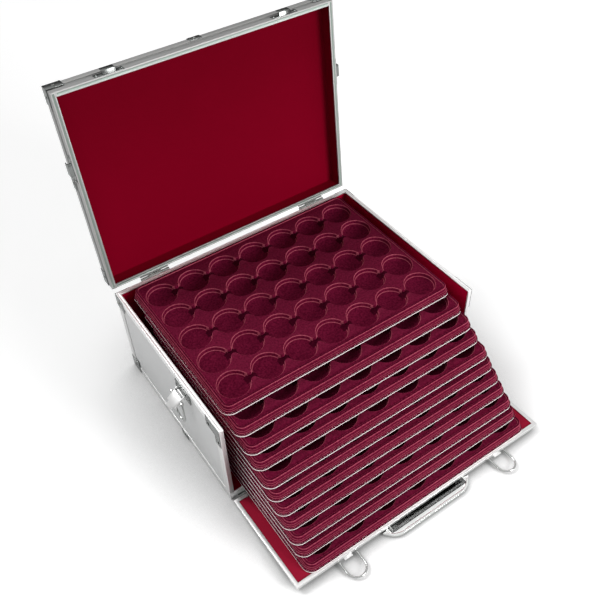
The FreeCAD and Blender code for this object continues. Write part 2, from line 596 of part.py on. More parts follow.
def lid_brackets():
    """The lid's corner brackets wrap three faces. Its clips hold the middle of the front and side edges."""
    top = LID_TOP[0]
    out = SIDE[0]
    front = f"-{FRONT[0]}"
    back = BACK[0]
    cap = (top, f"{top} + bracket_gauge")
    tall = (f"{top} - lid_bracket_height", cap[1])
    side_plate = (out, f"{out} + bracket_gauge")
    side_head = (side_plate[1], f"{side_plate[1]} + rivet_height")
    middle = f"{top} - lid_bracket_height / 2"
    reach_x = (f"{out} - bracket_reach", side_plate[1])
    brackets = []
    rivets = []
    for hand, turn in (("right", tuple), ("left", mirrored)):
        for end in ("front", "back"):
            if end == "front":
                face = (f"{front} - bracket_gauge", front)
                reach_y = (face[0], f"{front} + bracket_reach")
                head = (f"{face[0]} - rivet_height", face[0])
                rivet_y = f"{front} + bracket_reach / 2"
            else:
                face = (back, f"{back} + bracket_gauge")
                reach_y = (f"{back} - bracket_reach", face[1])
                head = (face[1], f"{face[1]} + rivet_height")
                rivet_y = f"{back} - bracket_reach / 2"
            name = f"lid_{end}_{hand}"
            brackets.append(fuse(f"{name}_bracket", [
                box(f"{name}_face", turn(reach_x), face, tall),
                box(f"{name}_side", turn(side_plate), reach_y, tall),
                box(f"{name}_cap", turn(reach_x), reach_y, cap)]))
            rivet_x = f"{out} - bracket_reach / 2"
            rivets.append(rod(f"{name}_face_rivet", "y", *head,
                              (rivet_x if hand == "right" else f"-({rivet_x})", middle), "rivet_radius"))
            rivets.append(rod(f"{name}_side_rivet", "x", *turn(side_head), (rivet_y, middle), "rivet_radius"))
    node("lid_corner_brackets", brackets, LID_OPEN)

    clips = []
    edge = (f"{top} - clip_height", cap[1])
    clip_rise = f"{top} - clip_height / 2"
    for hand, turn in (("right", tuple), ("left", mirrored)):
        clips.append(fuse(f"lid_{hand}_clip", [
            box(f"lid_{hand}_clip_side", turn(side_plate), CLIP_SPAN, edge),
            box(f"lid_{hand}_clip_cap", turn((f"{out} - clip_height", side_plate[1])), CLIP_SPAN, cap)]))
        rivets.append(rod(f"lid_{hand}_clip_rivet", "x", *turn(side_head), (CLIP, clip_rise), "rivet_radius"))
    half = ("-clip_length / 2", "clip_length / 2")
    clips.append(fuse("lid_front_clip", [
        box("lid_front_clip_face", half, (f"{front} - bracket_gauge", front), edge),
        box("lid_front_clip_cap", half, (f"{front} - bracket_gauge", f"{front} + clip_height"), cap)]))
    rivets.append(rod("lid_front_clip_rivet", "y", f"{front} - bracket_gauge - rivet_height",
                      f"{front} - bracket_gauge", ("0", clip_rise), "rivet_radius"))
    node("lid_edge_clips", clips, LID_OPEN)
    node("lid_rivets", rivets, LID_OPEN)


# The two stop hinges at the back. The pin stays with the body.
def lid_hinges():
    axis = (LID_PIN_Y, LID_PIN_Z)
    face = BACK[0]
    leaf = (face, f"{face} + hinge_leaf_gauge")
    bore = "hinge_pin_radius + pin_clearance"
    knuckle_low = f"({LID_PIN_Z} - hinge_knuckle_radius)"
    knuckle_high = f"({LID_PIN_Z} + hinge_knuckle_radius)"
    body_leaves = []
    lid_leaves = []
    pins = []
    for hand, sign in (("right", 1), ("left", -1)):
        low = f"({sign} * (case_width / 2 - hinge_inset) - hinge_length / 2)"
        high = f"({low} + hinge_length)"
        ends = ((low, f"{low} + hinge_end_knuckle"), (f"{high} - hinge_end_knuckle", high))
        pieces = [box(f"{hand}_body_leaf_plate", (low, high), leaf,
                      (f"{TOP} - seam_gap - hinge_leaf_height", f"{knuckle_low} + hinge_leaf_gauge"))]
        for end, span in enumerate(ends):
            pieces.append(box(f"{hand}_body_ledge_{end}", span, (face, LID_PIN_Y),
                              (knuckle_low, f"{knuckle_low} + hinge_leaf_gauge")))
            pieces.append(rod(f"{hand}_body_knuckle_{end}", "x", *span, axis, "hinge_knuckle_radius"))
        solid = fuse(f"{hand}_body_leaf_solid", pieces)
        through = (f"{low} - bore_overrun", f"{high} + bore_overrun")
        drill = rod(f"{hand}_body_bore", "x", *through, axis, bore)
        body_leaves.append(cut(f"{hand}_body_leaf", solid, drill))

        span = (f"{ends[0][1]} + running_gap", f"{ends[1][0]} - running_gap")
        upper = (f"{knuckle_high} - hinge_leaf_gauge", knuckle_high)
        solid = fuse(f"{hand}_lid_leaf_solid", [
            box(f"{hand}_lid_leaf_plate", (low, high), leaf, (upper[0], f"{upper[0]} + hinge_leaf_height")),
            box(f"{hand}_lid_ledge", span, (face, LID_PIN_Y), upper),
            rod(f"{hand}_lid_knuckle", "x", *span, axis, "hinge_knuckle_radius")])
        drill = rod(f"{hand}_lid_bore", "x", *through, axis, bore)
        lid_leaves.append(cut(f"{hand}_lid_leaf", solid, drill))
        pins.append(rod(f"{hand}_lid_pin", "x", low, high, axis, "hinge_pin_radius"))
    node("back_hinge_body_leaves", body_leaves)
    node("back_hinge_pins", pins)
    node("back_hinge_lid_leaves", lid_leaves, LID_OPEN)


# The flap, drawn closed, upright in front of the side walls.
def flap():
    outer, panel, panel_in, lined, inner = [f"-{text}" for text in FRONT]
    low, high = FLAP_LOW, FLAP_HIGH
    side = SIDE[0]
    inset = "frame_gauge"
    wide = (f"-({side} - {inset})", f"{side} - {inset}")
    tall = (f"{low} + {inset}", f"{high} - {inset}")
    node("flap_board", [box("flap_panel", wide, (panel, panel_in), tall)], FLAP_OPEN)
    node("flap_lining", [box("flap_cloth", wide, (panel_in, lined), tall)], FLAP_OPEN)

    edge = [box("flap_edge_block", (f"-{side}", side), (outer, inner), (low, high)),
            box("flap_edge_room", wide, (panel, lined), tall)]
    hollow = cut("flap_edge_hollow", *edge)
    outer_room = box("flap_outer_window", (f"-({side} - outer_flange)", f"{side} - outer_flange"),
                     (outer, panel), (f"{low} + outer_flange", f"{high} - outer_flange"))
    inner_room = box("flap_inner_window", (f"-({side} - flap_border)", f"{side} - flap_border"),
                     (lined, inner), (f"{low} + flap_border", f"{high} - flap_border"))
    windows = doc.addObject("Part::Compound", "flap_windows")
    windows.Links = [outer_room, inner_room]
    node("flap_frame", [cut("flap_profile", hollow, windows)], FLAP_OPEN)


def piano_hinge():
    """The flap's long hinge. Each leaf is cut back where the other one has its knuckles."""
    axis = (FLAP_PIN_Y, FLAP_PIN_Z)
    pitch = f"(2 * {PIANO_HALF} / piano_knuckles)"
    bore = "piano_pin_radius + pin_clearance"
    radius = "piano_knuckle_radius"
    clear = f"({radius} + running_gap)"
    ledge = (f"({FLAP_PIN_Z} - {radius})", f"({FLAP_PIN_Z} - {radius} + piano_leaf_gauge)")
    body_face = FRONT_END
    flap_face = f"-{FRONT[0]}"
    whole = (f"-{PIANO_HALF}", PIANO_HALF)
    body = [box("body_leaf_plate", whole, (f"{body_face} - piano_leaf_gauge", body_face),
                (ledge[0], f"{ledge[0]} + body_leaf_height")),
            box("body_leaf_ledge", whole, (f"{FLAP_PIN_Y} + {clear}", body_face), ledge)]
    leaf_y = (f"{flap_face} - piano_leaf_gauge", flap_face)
    turned = [box("flap_leaf_plate", whole, leaf_y,
                  (f"{FLAP_PIN_Z} + {clear}", f"{FLAP_PIN_Z} + {clear} + piano_leaf_height"))]
    for k in range(NUMBERS["piano_knuckles"]):
        start = f"(-{PIANO_HALF} + {k} * {pitch})"
        span = (f"{start} + running_gap / 2", f"{start} + {pitch} - running_gap / 2")
        knuckle = rod(f"piano_knuckle_{k}", "x", *span, axis, radius)
        if k % 2:
            turned.append(knuckle)
            turned.append(box(f"flap_tab_{k}", span, leaf_y, (FLAP_PIN_Z, f"{FLAP_PIN_Z} + {clear}")))
        else:
            body.append(knuckle)
            body.append(box(f"body_tab_{k}", span, (FLAP_PIN_Y, f"{FLAP_PIN_Y} + {clear}"), ledge))
    through = (f"-{PIANO_HALF} - bore_overrun", f"{PIANO_HALF} + bore_overrun")
    for label, pieces, pose in (("flap_hinge_body_leaf", body, None), ("flap_hinge_flap_leaf", turned, FLAP_OPEN)):
        drill = rod(f"{label}_bore", "x", *through, axis, bore)
        node(label, [cut(f"{label}_drilled", fuse(f"{label}_solid", pieces), drill)], pose)
    node("flap_hinge_pin", [rod("piano_pin", "x", *whole, axis, "piano_pin_radius")])


# The draw latches. Each piece is drawn on a wall that faces -Y, about its lever's pin, with the lever up.
def latch_base(name):
    plate = (f"{LATCH_OUT} - latch_plate_gauge", f"{LATCH_OUT} + frame_gauge")
    pieces = [box(f"{name}_plate", (f"-{LATCH_PLATE}", LATCH_PLATE), plate,
                  ("-latch_plate_height / 2", "latch_plate_height / 2"))]
    for hand, turn in (("right", tuple), ("left", mirrored)):
        ear = turn(("ear_outer - ear_gauge", "ear_outer"))
        pieces.append(box(f"{name}_{hand}_ear", ear, ("0", plate[1]), ("-ear_radius", "ear_radius")))
        pieces.append(rod(f"{name}_{hand}_ear_round", "x", *ear, ("0", "0"), "ear_radius"))
        place = SCREW if hand == "right" else f"-{SCREW}"
        head = (f"{plate[0]} - latch_screw_height", plate[0])
        pieces.append(rod(f"{name}_{hand}_screw", "y", *head, (place, "0"), "latch_screw_radius"))
    drill = rod(f"{name}_bore", "x", f"-{LEVER}", LEVER, ("0", "0"), "lever_pin_radius + pin_clearance")
    return cut(name, fuse(f"{name}_solid", pieces), drill)


def latch_lever(name):
    plate = ("ear_radius - lever_gauge", "ear_radius")
    tip = "lever_tip_width / 2"
    start = "ear_radius + running_gap"
    pieces = [box(f"{name}_plate", (f"-{LEVER}", LEVER), plate, (start, "lever_length - lever_tip_length")),
              box(f"{name}_tip", (f"-{tip}", tip), plate, ("lever_length - lever_tip_length", "lever_length")),
              rod(f"{name}_pin", "x", f"-{LEVER}", LEVER, ("0", "0"), "lever_pin_radius")]
    for hand, turn in (("right", tuple), ("left", mirrored)):
        cheek = turn((f"{LEVER} - lever_gauge", LEVER))
        pieces.append(box(f"{name}_{hand}_cheek", cheek, ("-ear_radius", "ear_radius"),
                          ("0", "lever_cheek_length")))
        pieces.append(rod(f"{name}_{hand}_round", "x", *cheek, ("0", "0"), "ear_radius"))
    through = (f"-{LEVER} - bore_overrun", f"{LEVER} + bore_overrun")
    drill = rod(f"{name}_bore", "x", *through, ("0", "trunnion_offset"), "trunnion_radius + pin_clearance")
    return cut(name, fuse(f"{name}_solid", pieces), drill)


def latch_trunnion(name):
    end = f"({LOOP} + eye_length / 2)"
    return rod(name, "x", f"-{end}", end, ("0", "0"), "trunnion_radius")


def latch_loop(name):
    """The wire loop, drawn about its trunnion, which its two eyes are pressed on."""
    wire = "loop_wire_radius"
    top = f"(loop_reach - {LOOP})"
    bend = doc.addObject("Part::Torus", f"{name}_bend")
    bend.Angle3 = 180
    bend.Placement = FreeCAD.Placement(V(), FreeCAD.Rotation(V(1, 0, 0), 90))
    bind(bend, "Radius1", LOOP)
    bind(bend, "Radius2", wire)
    bind(bend, "Placement.Base.z", top)
    pieces = [bend]
    for hand, sign in (("right", 1), ("left", -1)):
        middle = f"{sign} * {LOOP}"
        pieces.append(rod(f"{name}_{hand}_leg", "z", "0", top, (middle, "0"), wire))
        pieces.append(rod(f"{name}_{hand}_eye", "x", f"{middle} - eye_length / 2", f"{middle} + eye_length / 2",
                          ("0", "0"), "eye_radius"))
    pieces.append(latch_trunnion(f"{name}_trunnion"))
    return fuse(name, pieces)


def turned(angle, height="0"):
    """A turn about the latch's width that tips the top outwards, after a lift."""
    return f"placement(vector(0; 0; {height}); rotation(vector(1; 0; 0); {angle}); vector(0; 0; 0))"


def moved(x, y, z, heading="0"):
    """A place for a latch, with the wall's heading about the upright axis."""
    return f"placement(vector({x}; {y}; {z}); rotation(vector(0; 0; 1); {heading}); vector(0; 0; 0))"


def latches():
    bases = []
    for hand, sign in (("left", -1), ("right", 1)):
        spot = moved(f"{sign} * {FRONT_LATCH}", f"-{FRONT[0]} - {LATCH_OUT}", LATCH_Z)
        base = doc.addObject("Part::Compound", f"front_base_{hand}")
        base.Links = [latch_base(f"front_base_form_{hand}")]
        bind(base, "Placement", spot)
        bases.append(base)
        node(f"front_latch_lever_{hand}", [latch_lever(f"front_lever_form_{hand}")], f"{FLAP_OPEN} * {spot}")
        node(f"front_latch_loop_{hand}", [latch_loop(f"front_loop_form_{hand}")],
             f"{FLAP_OPEN} * {spot} * {turned('0', 'trunnion_offset')}")
    node("front_latch_bases", bases, FLAP_OPEN)

    for hand, sign in (("left", -1), ("right", 1)):
        spot = moved(f"{sign} * ({SIDE[0]} + {LATCH_OUT})", SIDE_LATCH, LATCH_Z, f"{sign} * 90")
        fallen = turned("side_lever_angle")
        lifted = turned("0", "trunnion_offset")
        plumb = turned("180 - side_lever_angle")
        node(f"side_latch_base_{hand}", [latch_base(f"side_base_form_{hand}")], spot)
        node(f"side_latch_lever_{hand}", [latch_lever(f"side_lever_form_{hand}")], f"{spot} * {fallen}")
        node(f"side_latch_loop_{hand}", [latch_loop(f"side_loop_form_{hand}")],
             f"{spot} * {fallen} * {lifted} * {plumb}")


def catch(name):
    """A catch on a wall that faces -Y, drawn about the top of its hook's block. The loop's round end lies over
    the block, behind the lip."""
    lip = (f"-{HOOK_OUT}", f"-{HOOK_OUT} + catch_lip_gauge")
    pieces = [box(f"{name}_plate", (f"-{LATCH_PLATE}", LATCH_PLATE), ("-bracket_gauge", "0"),
                  ("-catch_plate_drop", "catch_plate_rise")),
              box(f"{name}_hook", (f"-{HOOK}", HOOK), (f"-{HOOK_OUT}", "0"), ("-catch_hook_height", "0")),
              box(f"{name}_lip", (f"-{HOOK}", HOOK), lip, ("-catch_hook_height", "catch_lip_rise"))]
    for hand, place in (("right", SCREW), ("left", f"-{SCREW}")):
        pieces.append(rod(f"{name}_{hand}_screw", "y", "-bracket_gauge - latch_screw_height", "-bracket_gauge",
                          (place, "(catch_plate_rise - catch_plate_drop) / 2"), "latch_screw_radius"))
    return fuse(name, pieces)


def catches():
    front = []
    for hand, sign in (("left", -1), ("right", 1)):
        item = doc.addObject("Part::Compound", f"front_catch_{hand}")
        item.Links = [catch(f"front_catch_form_{hand}")]
        bind(item, "Placement", moved(f"{sign} * {FRONT_LATCH}", f"-{FRONT[0]}", CATCH_Z))
        front.append(item)
    node("lid_front_catches", front, LID_OPEN)
    side = []
    for hand, sign in (("left", -1), ("right", 1)):
        item = doc.addObject("Part::Compound", f"side_catch_{hand}")
        item.Links = [catch(f"side_catch_form_{hand}")]
        bind(item, "Placement", moved(f"{sign} * {SIDE[0]}", SIDE_LATCH, CATCH_Z, f"{sign} * 90"))
        side.append(item)
    node("lid_side_catches", side, LID_OPEN)


# The handle on the flap, drawn closed and swung up, as it lies past the flap's edge when the flap is open.
def handle():
    face = f"-{FRONT[0]}"
    pin_y = f"({face} - handle_back_gap - handle_thickness / 2)"
    pin_z = "(case_height - handle_pivot_drop)"
    leg_out = "(handle_half_span + handle_leg_width / 2)"
    leg_in = "(handle_half_span - handle_leg_width / 2)"
    inner = "(handle_leg_width / 2 + handle_ear_gap)"
    span = f"({inner} + handle_ear_gauge)"
    mounts = []
    for hand, sign in (("right", 1), ("left", -1)):
        middle = f"({sign} * handle_half_span)"
        ears = []
        for side, a, b in (("outer", f"{middle} + {inner}", f"{middle} + {inner} + handle_ear_gauge"),
                           ("inner", f"{middle} - {inner} - handle_ear_gauge", f"{middle} - {inner}")):
            ears.append(box(f"{hand}_{side}_ear", (a, b), (f"{pin_y} - handle_ear_radius", f"{face} + frame_gauge"),
                            (f"{pin_z} - handle_ear_radius", f"{pin_z} + handle_ear_radius")))
        ears.append(rod(f"{hand}_handle_pin", "x", f"{middle} - {span}", f"{middle} + {span}", (pin_y, pin_z),
                        "handle_pin_radius"))
        mounts.append(fuse(f"{hand}_handle_mount", ears))
    node("handle_mounts", mounts, FLAP_OPEN)

    thick = (f"{pin_y} - handle_thickness / 2", f"{pin_y} + handle_thickness / 2")
    bow = new_body("handle_bow")
    sketch = sketch_on(bow, "bow_outline", "XZ_Plane", f"-({thick[1]})")
    outer = "handle_reach"
    under = "(handle_reach - handle_bar_width)"
    shoulder = f"({under} - handle_shoulder_drop)"
    wide = f"({leg_out} + handle_shoulder_width)"
    right = [("handle_bar_half", outer, 50, 34), (wide, shoulder, 72, 20),
             (leg_out, shoulder, 66, 20), (leg_out, "-handle_leg_tail", 66, -2),
             (leg_in, "-handle_leg_tail", 58, -2), (leg_in, under, 58, 23)]
    points = [(x, z) for x, z, a, b in right] + [(f"-{x}", z) for x, z, a, b in reversed(right)]
    start = [(a, b) for x, z, a, b in right] + [(-a, b) for x, z, a, b in reversed(right)]
    polygon(sketch, points, start)
    pad(bow, "bow_pad", sketch, "handle_thickness")
    bind(bow, "Placement.Base.z", pin_z)
    doc.recompute()
    drill = rod("handle_bore", "x", f"-{wide}", wide, (pin_y, pin_z), "handle_pin_radius + pin_clearance")
    node("handle_grip", [cut("handle_drilled", bow, drill)], FLAP_OPEN)
    pad_x = f"({leg_in} - handle_pad_gap)"
    pad_z = (f"{pin_z} + {under} - handle_pad_width", f"{pin_z} + {under}")
    node("handle_pad", [box("handle_pad_block", (f"-{pad_x}", pad_x), thick, pad_z)], FLAP_OPEN)


# The trays. One form, and a copy of it in each tray's place.
def tray_form():
    body = new_body("tray_form")
    hollow = f"({TRAY_WALL} + tray_skin)"
    field = "(tray_height - tray_rim_rise)"

    def outline(name, inset, height="0"):
        sketch = sketch_on(body, name, "XY_Plane", height)
        rounded_rectangle(sketch, f"{TRAY_WIDTH} - 2 * {inset}", f"{TRAY_DEPTH} - 2 * {inset}",
                          f"tray_corner - {inset}")
        return sketch

    pad(body, "edge", outline("edge_outline", "0"), "tray_edge_gauge")
    pad(body, "side_step", outline("step_outline", "tray_edge_width"), "tray_step_height")
    pad(body, "rim", outline("rim_outline", TRAY_WALL), "tray_height")
    pocket(body, "field", outline("field_outline", TRAY_RIM, "tray_height"), "tray_rim_rise")
    pocket(body, "underside", outline("underside_outline", hollow), f"{field} - tray_skin", upward=True)

    corner_x = f"(-{PITCH_ACROSS} * ({COLUMNS} - 1) / 2)"
    corner_y = f"(-{PITCH_DEEP} * ({ROWS} - 1) / 2)"

    def disc(name, height, radius):
        sketch = sketch_on(body, name, "XY_Plane", height)
        circle(sketch, corner_x, corner_y, radius)
        return sketch

    def bridge(name, height, width):
        sketch = sketch_on(body, name, "XY_Plane", height)
        near, far = f"{corner_y} - ({width}) / 2", f"{corner_y} + ({width}) / 2"
        end = f"{corner_x} + {PITCH_ACROSS}"
        polygon(sketch, [(corner_x, near), (end, near), (end, far), (corner_x, far)],
                [(-140, -100), (-100, -100), (-100, -90), (-140, -90)])
        return sketch

    cup = pad(body, "cup", disc("cup_outline", f"{field} - seat_depth - tray_skin", "seat_radius + tray_skin"),
              "seat_depth")
    shelf = pad(body, "shelf", disc("shelf_outline", f"{field} - ring_depth - tray_skin", f"{RING} + tray_skin"),
                "ring_depth")
    floor = pad(body, "neck_floor", bridge("neck_floor_outline", f"{field} - ring_depth - tray_skin",
                                           "neck_width + 2 * tray_skin"), "ring_depth")
    doc.recompute()
    grid(body, "cups", [cup, shelf], COLUMNS, ROWS)
    grid(body, "neck_floors", [floor], f"({COLUMNS} - 1)", ROWS)
    ring = pocket(body, "ring", disc("ring_outline", field, RING), "ring_depth")
    seat = pocket(body, "seat", disc("seat_outline", field, "seat_radius"), "seat_depth")
    neck = pocket(body, "neck", bridge("neck_outline", field, "neck_width"), "ring_depth")
    doc.recompute()
    grid(body, "pockets", [ring, seat], COLUMNS, ROWS)
    grid(body, "necks", [neck], f"({COLUMNS} - 1)", ROWS)
    doc.recompute()
    return body


def trays():
    form = tray_form()
    for number in range(1, len(PULLED_OUT) + 1):
        back = f"{BACK[4]} - tray_back_gap - {TRAY_DEPTH} / 2 - pulled_{number:02d}"
        lift = f"{FLOOR} + running_gap + {len(PULLED_OUT) - number} * {TRAY_PITCH}"
        node(f"tray_{number:02d}", [form], f"placement(vector(0; {back}; {lift}); rotation(vector(0; 0; 1); 0))")


body_walls()
body_profiles()
body_brackets()
lid()
lid_brackets()
lid_hinges()
flap()
piano_hinge()
latches()
catches()
handle()
trays()
doc.recompute()

# Nothing is written unless every object is sound.
failed = [item.Name for item in doc.Objects if "Invalid" in item.State or "Error" in item.State]
if failed:
    raise RuntimeError(f"failed objects: {failed}")
for item in nodes:
    shape = item.Shape
    if shape.isNull() or not shape.isValid() or not shape.Solids:
        raise RuntimeError(f"{item.Label} has no sound shape")

os.makedirs("parts", exist_ok=True)
for item in nodes:
    item.Shape.exportStep(f"parts/{item.Label}.step")
print(len(nodes), "sub-parts")
for item in nodes:
    size = item.Shape.BoundBox
    spans = " x ".join(f"{length:.1f}" for length in (size.XLength, size.YLength, size.ZLength))
    print(f"{item.Label}: {len(item.Shape.Solids)} solids, {spans}")
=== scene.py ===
# %% [markdown]
# # A coin case, dressed for its portrait
# The case stands open: its lid leans back, its front flap lies on the table, and eleven flocked trays step
# out over the flap like stairs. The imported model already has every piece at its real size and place. This
# lesson gives each piece its finish, and remodels the ones whose small forms carry the look.

import json
from math import cos, radians, sin

import bmesh
import bpy
from mathutils import Matrix, Vector


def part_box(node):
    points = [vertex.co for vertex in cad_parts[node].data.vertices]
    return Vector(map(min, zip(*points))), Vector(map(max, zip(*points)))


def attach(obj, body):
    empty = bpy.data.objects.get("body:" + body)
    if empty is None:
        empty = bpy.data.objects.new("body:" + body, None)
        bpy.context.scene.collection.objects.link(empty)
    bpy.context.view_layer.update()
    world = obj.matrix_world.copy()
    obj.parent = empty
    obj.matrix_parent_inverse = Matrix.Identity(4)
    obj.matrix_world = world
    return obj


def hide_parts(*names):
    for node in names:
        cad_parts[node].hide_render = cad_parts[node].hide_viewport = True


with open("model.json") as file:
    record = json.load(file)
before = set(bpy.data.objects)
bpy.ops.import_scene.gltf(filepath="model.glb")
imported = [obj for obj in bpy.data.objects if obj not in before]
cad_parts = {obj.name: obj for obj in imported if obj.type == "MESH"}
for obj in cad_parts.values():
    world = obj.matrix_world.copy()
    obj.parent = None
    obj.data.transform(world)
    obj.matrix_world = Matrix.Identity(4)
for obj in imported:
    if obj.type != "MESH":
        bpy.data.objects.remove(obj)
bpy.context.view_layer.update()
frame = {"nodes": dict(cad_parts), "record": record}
nodes = frame["nodes"]
node_slot = {entry["node"]: entry["material_slot"] for entry in frame["record"]["subparts"]}
node_body = {name: body for body, names in frame["record"]["behaviour"]["bodies"].items() for name in names}
MM = 0.001
print(len(nodes), "nodes loaded")

# %% [markdown]
# Everything in Blender acts on what is selected, and the loaded nodes arrive selected. So the first helpers
# clear the selection, pick one piece and leave edit mode cleanly. A modifier is applied as soon as it is set,
# so that the finished shape is in the mesh itself.

# %% Helpers for one piece at a time
def alone(piece):
    """Select this piece and nothing else."""
    bpy.ops.object.select_all(action="DESELECT")
    piece.select_set(True)
    bpy.context.view_layer.objects.active = piece


def apply(piece, kind, **settings):
    """Add a modifier, set it and apply it."""
    alone(piece)
    modifier = piece.modifiers.new(kind.title(), kind)
    for name, value in settings.items():
        setattr(modifier, name, value)
    bpy.ops.object.modifier_apply(modifier=modifier.name)


def smooth(piece, angle=32):
    alone(piece)
    bpy.ops.object.shade_smooth_by_angle(angle=radians(angle))


def settle(piece):
    """Move the piece's place, turn and size into its mesh."""
    alone(piece)
    bpy.ops.object.transform_apply(location=True, rotation=True, scale=True)


def pick_faces(piece, wanted):
    """In edit mode, select just the faces for which wanted(centre, normal) is true. Returns how many."""
    mesh = bmesh.from_edit_mesh(piece.data)
    count = 0
    for face in mesh.faces:
        face.select = wanted(face.calc_center_median(), face.normal)
        count += face.select
    mesh.select_flush_mode()
    bmesh.update_edit_mesh(piece.data)
    return count


def edit(piece):
    alone(piece)
    bpy.ops.object.mode_set(mode="EDIT")
    bpy.ops.mesh.select_mode(type="FACE")


def done():
    bpy.ops.object.mode_set(mode="OBJECT")


# %% [markdown]
# ## Finishes
# Every finish is a node tree that reads Object coordinates, so its grain stays with the piece. Three effects
# are shared by several finishes, and each is one node group: a fine grain that gives a bump height, long
# brushed streaks, and a mask for edges on which a highlight is painted.

# %% Helpers for node trees
def new_group(name, inputs, outputs):
    """A node group with named float inputs (with their usual values) and named outputs."""
    group = bpy.data.node_groups.new(name, "ShaderNodeTree")
    for label, value in inputs.items():
        socket = group.interface.new_socket(label, in_out="INPUT", socket_type="NodeSocketFloat")
        socket.default_value = value
    for label in outputs:
        group.interface.new_socket(label, in_out="OUTPUT", socket_type="NodeSocketFloat")
    return group, group.nodes.new("NodeGroupInput"), group.nodes.new("NodeGroupOutput")


def add(tree, kind, inputs=None, **settings):
    """A node with its settings and input values. A value that is an output socket is linked."""
    node = tree.nodes.new(kind)
    for name, value in settings.items():
        setattr(node, name, value)
    for name, value in (inputs or {}).items():
        if isinstance(value, bpy.types.NodeSocket):
            tree.links.new(value, node.inputs[name])
        else:
            node.inputs[name].default_value = value
    return node


def maths(tree, operation, first, second=0.0):
    return add(tree, "ShaderNodeMath", {0: first, 1: second}, operation=operation).outputs[0]


# A Mix node has a socket of each kind under the same label, so the colour ones are found by their place.
MIX_A, MIX_B, MIX_RESULT = 6, 7, 2


def mix_colour(tree, mask, low, high):
    mix = tree.nodes.new("ShaderNodeMix")
    mix.data_type = "RGBA"
    tree.links.new(mask, mix.inputs[0])
    for place, value in ((MIX_A, low), (MIX_B, high)):
        if isinstance(value, bpy.types.NodeSocket):
            tree.links.new(value, mix.inputs[place])
        else:
            mix.inputs[place].default_value = value
    return mix.outputs[MIX_RESULT]


# %% The fine grain
grain, grain_in, grain_out = new_group("fine_grain", {"Scale": 900.0, "Detail": 3.0}, ["Height"])
spot = add(grain, "ShaderNodeTexCoord")
speck = add(grain, "ShaderNodeTexNoise", {"Vector": spot.outputs["Object"], "Scale": grain_in.outputs["Scale"],
                                          "Detail": grain_in.outputs["Detail"], "Roughness": 0.65})
grain.links.new(speck.outputs["Fac"], grain_out.inputs["Height"])

# %% The brushed streaks
# Noise that is squeezed across the brushing and stretched along it. The brushing runs along X, the way that
# the sheet comes off its roll.
streaks, streaks_in, streaks_out = new_group("brushed_streaks", {"Fineness": 700.0, "Length": 0.02}, ["Height"])
spot = add(streaks, "ShaderNodeTexCoord")
squeeze = add(streaks, "ShaderNodeCombineXYZ", {"X": streaks_in.outputs["Length"], "Y": 1.0, "Z": 1.0})
pulled = add(streaks, "ShaderNodeVectorMath", {0: spot.outputs["Object"], 1: squeeze.outputs[0]},
             operation="MULTIPLY")
lines = add(streaks, "ShaderNodeTexNoise", {"Vector": pulled.outputs[0], "Detail": 2.0,
                                            "Scale": streaks_in.outputs["Fineness"]})
streaks.links.new(lines.outputs["Fac"], streaks_out.inputs["Height"])

# %% The edge light
# Painted highlight: flock is painted paler along a formed edge, where light catches it. Pointiness is high
# there.
edges, edges_in, edges_out = new_group("painted_edge_light", {"From": 0.52, "To": 0.6}, ["Mask"])
shape = add(edges, "ShaderNodeNewGeometry")
ramp = add(edges, "ShaderNodeMapRange", {"Value": shape.outputs["Pointiness"],
                                         "From Min": edges_in.outputs["From"],
                                         "From Max": edges_in.outputs["To"]})
edges.links.new(ramp.outputs["Result"], edges_out.inputs["Mask"])
print("shared effects:", [group.name for group in bpy.data.node_groups])

# %% [markdown]
# A finish starts from one maker that sets the plain numbers on the shader itself. Only what changes over the
# surface comes through links.

# %% The maker of finishes
def finish_tree(name, roughness, metallic=0.0, **plain):
    """A new material. Returns it with its tree and its shader."""
    material = bpy.data.materials.new(name)
    material.use_nodes = True
    tree = material.node_tree
    shader = tree.nodes["Principled BSDF"]
    shader.inputs["Roughness"].default_value = roughness
    shader.inputs["Metallic"].default_value = metallic
    for label, value in plain.items():
        shader.inputs[label.replace("_", " ")].default_value = value
    return material, tree, shader


def placed(tree, group, **values):
    node = tree.nodes.new("ShaderNodeGroup")
    node.node_tree = group
    for label, value in values.items():
        node.inputs[label].default_value = value
    return node.outputs[0]


def bump(tree, shader, height, strength, distance):
    node = add(tree, "ShaderNodeBump", {"Height": height, "Strength": strength, "Distance": distance})
    tree.links.new(node.outputs["Normal"], shader.inputs["Normal"])


def spread(tree, value, low, high):
    """The value of a 0 to 1 texture, mapped to low and high."""
    return add(tree, "ShaderNodeMapRange", {"Value": value, "From Min": 0.3, "From Max": 0.7, "To Min": low,
                                            "To Max": high}).outputs["Result"]


def clouds(tree, scale):
    place = add(tree, "ShaderNodeTexCoord")
    return add(tree, "ShaderNodeTexNoise", {"Vector": place.outputs["Object"], "Scale": scale,
                                            "Detail": 2.0}).outputs["Fac"]


# %% Aluminium: the panels' smooth sheet and the satin profiles
def aluminium(name, light, dark, rough, streak_depth):
    material, tree, shader = finish_tree(name, rough, metallic=0.85)
    streak = placed(tree, streaks, Fineness=900.0, Length=0.015)
    colour = mix_colour(tree, clouds(tree, 9.0), dark, light)
    tree.links.new(colour, shader.inputs["Base Color"])
    tree.links.new(spread(tree, streak, rough - 0.06, rough + 0.06), shader.inputs["Roughness"])
    bump(tree, shader, streak, streak_depth, 0.02 * MM)
    return material


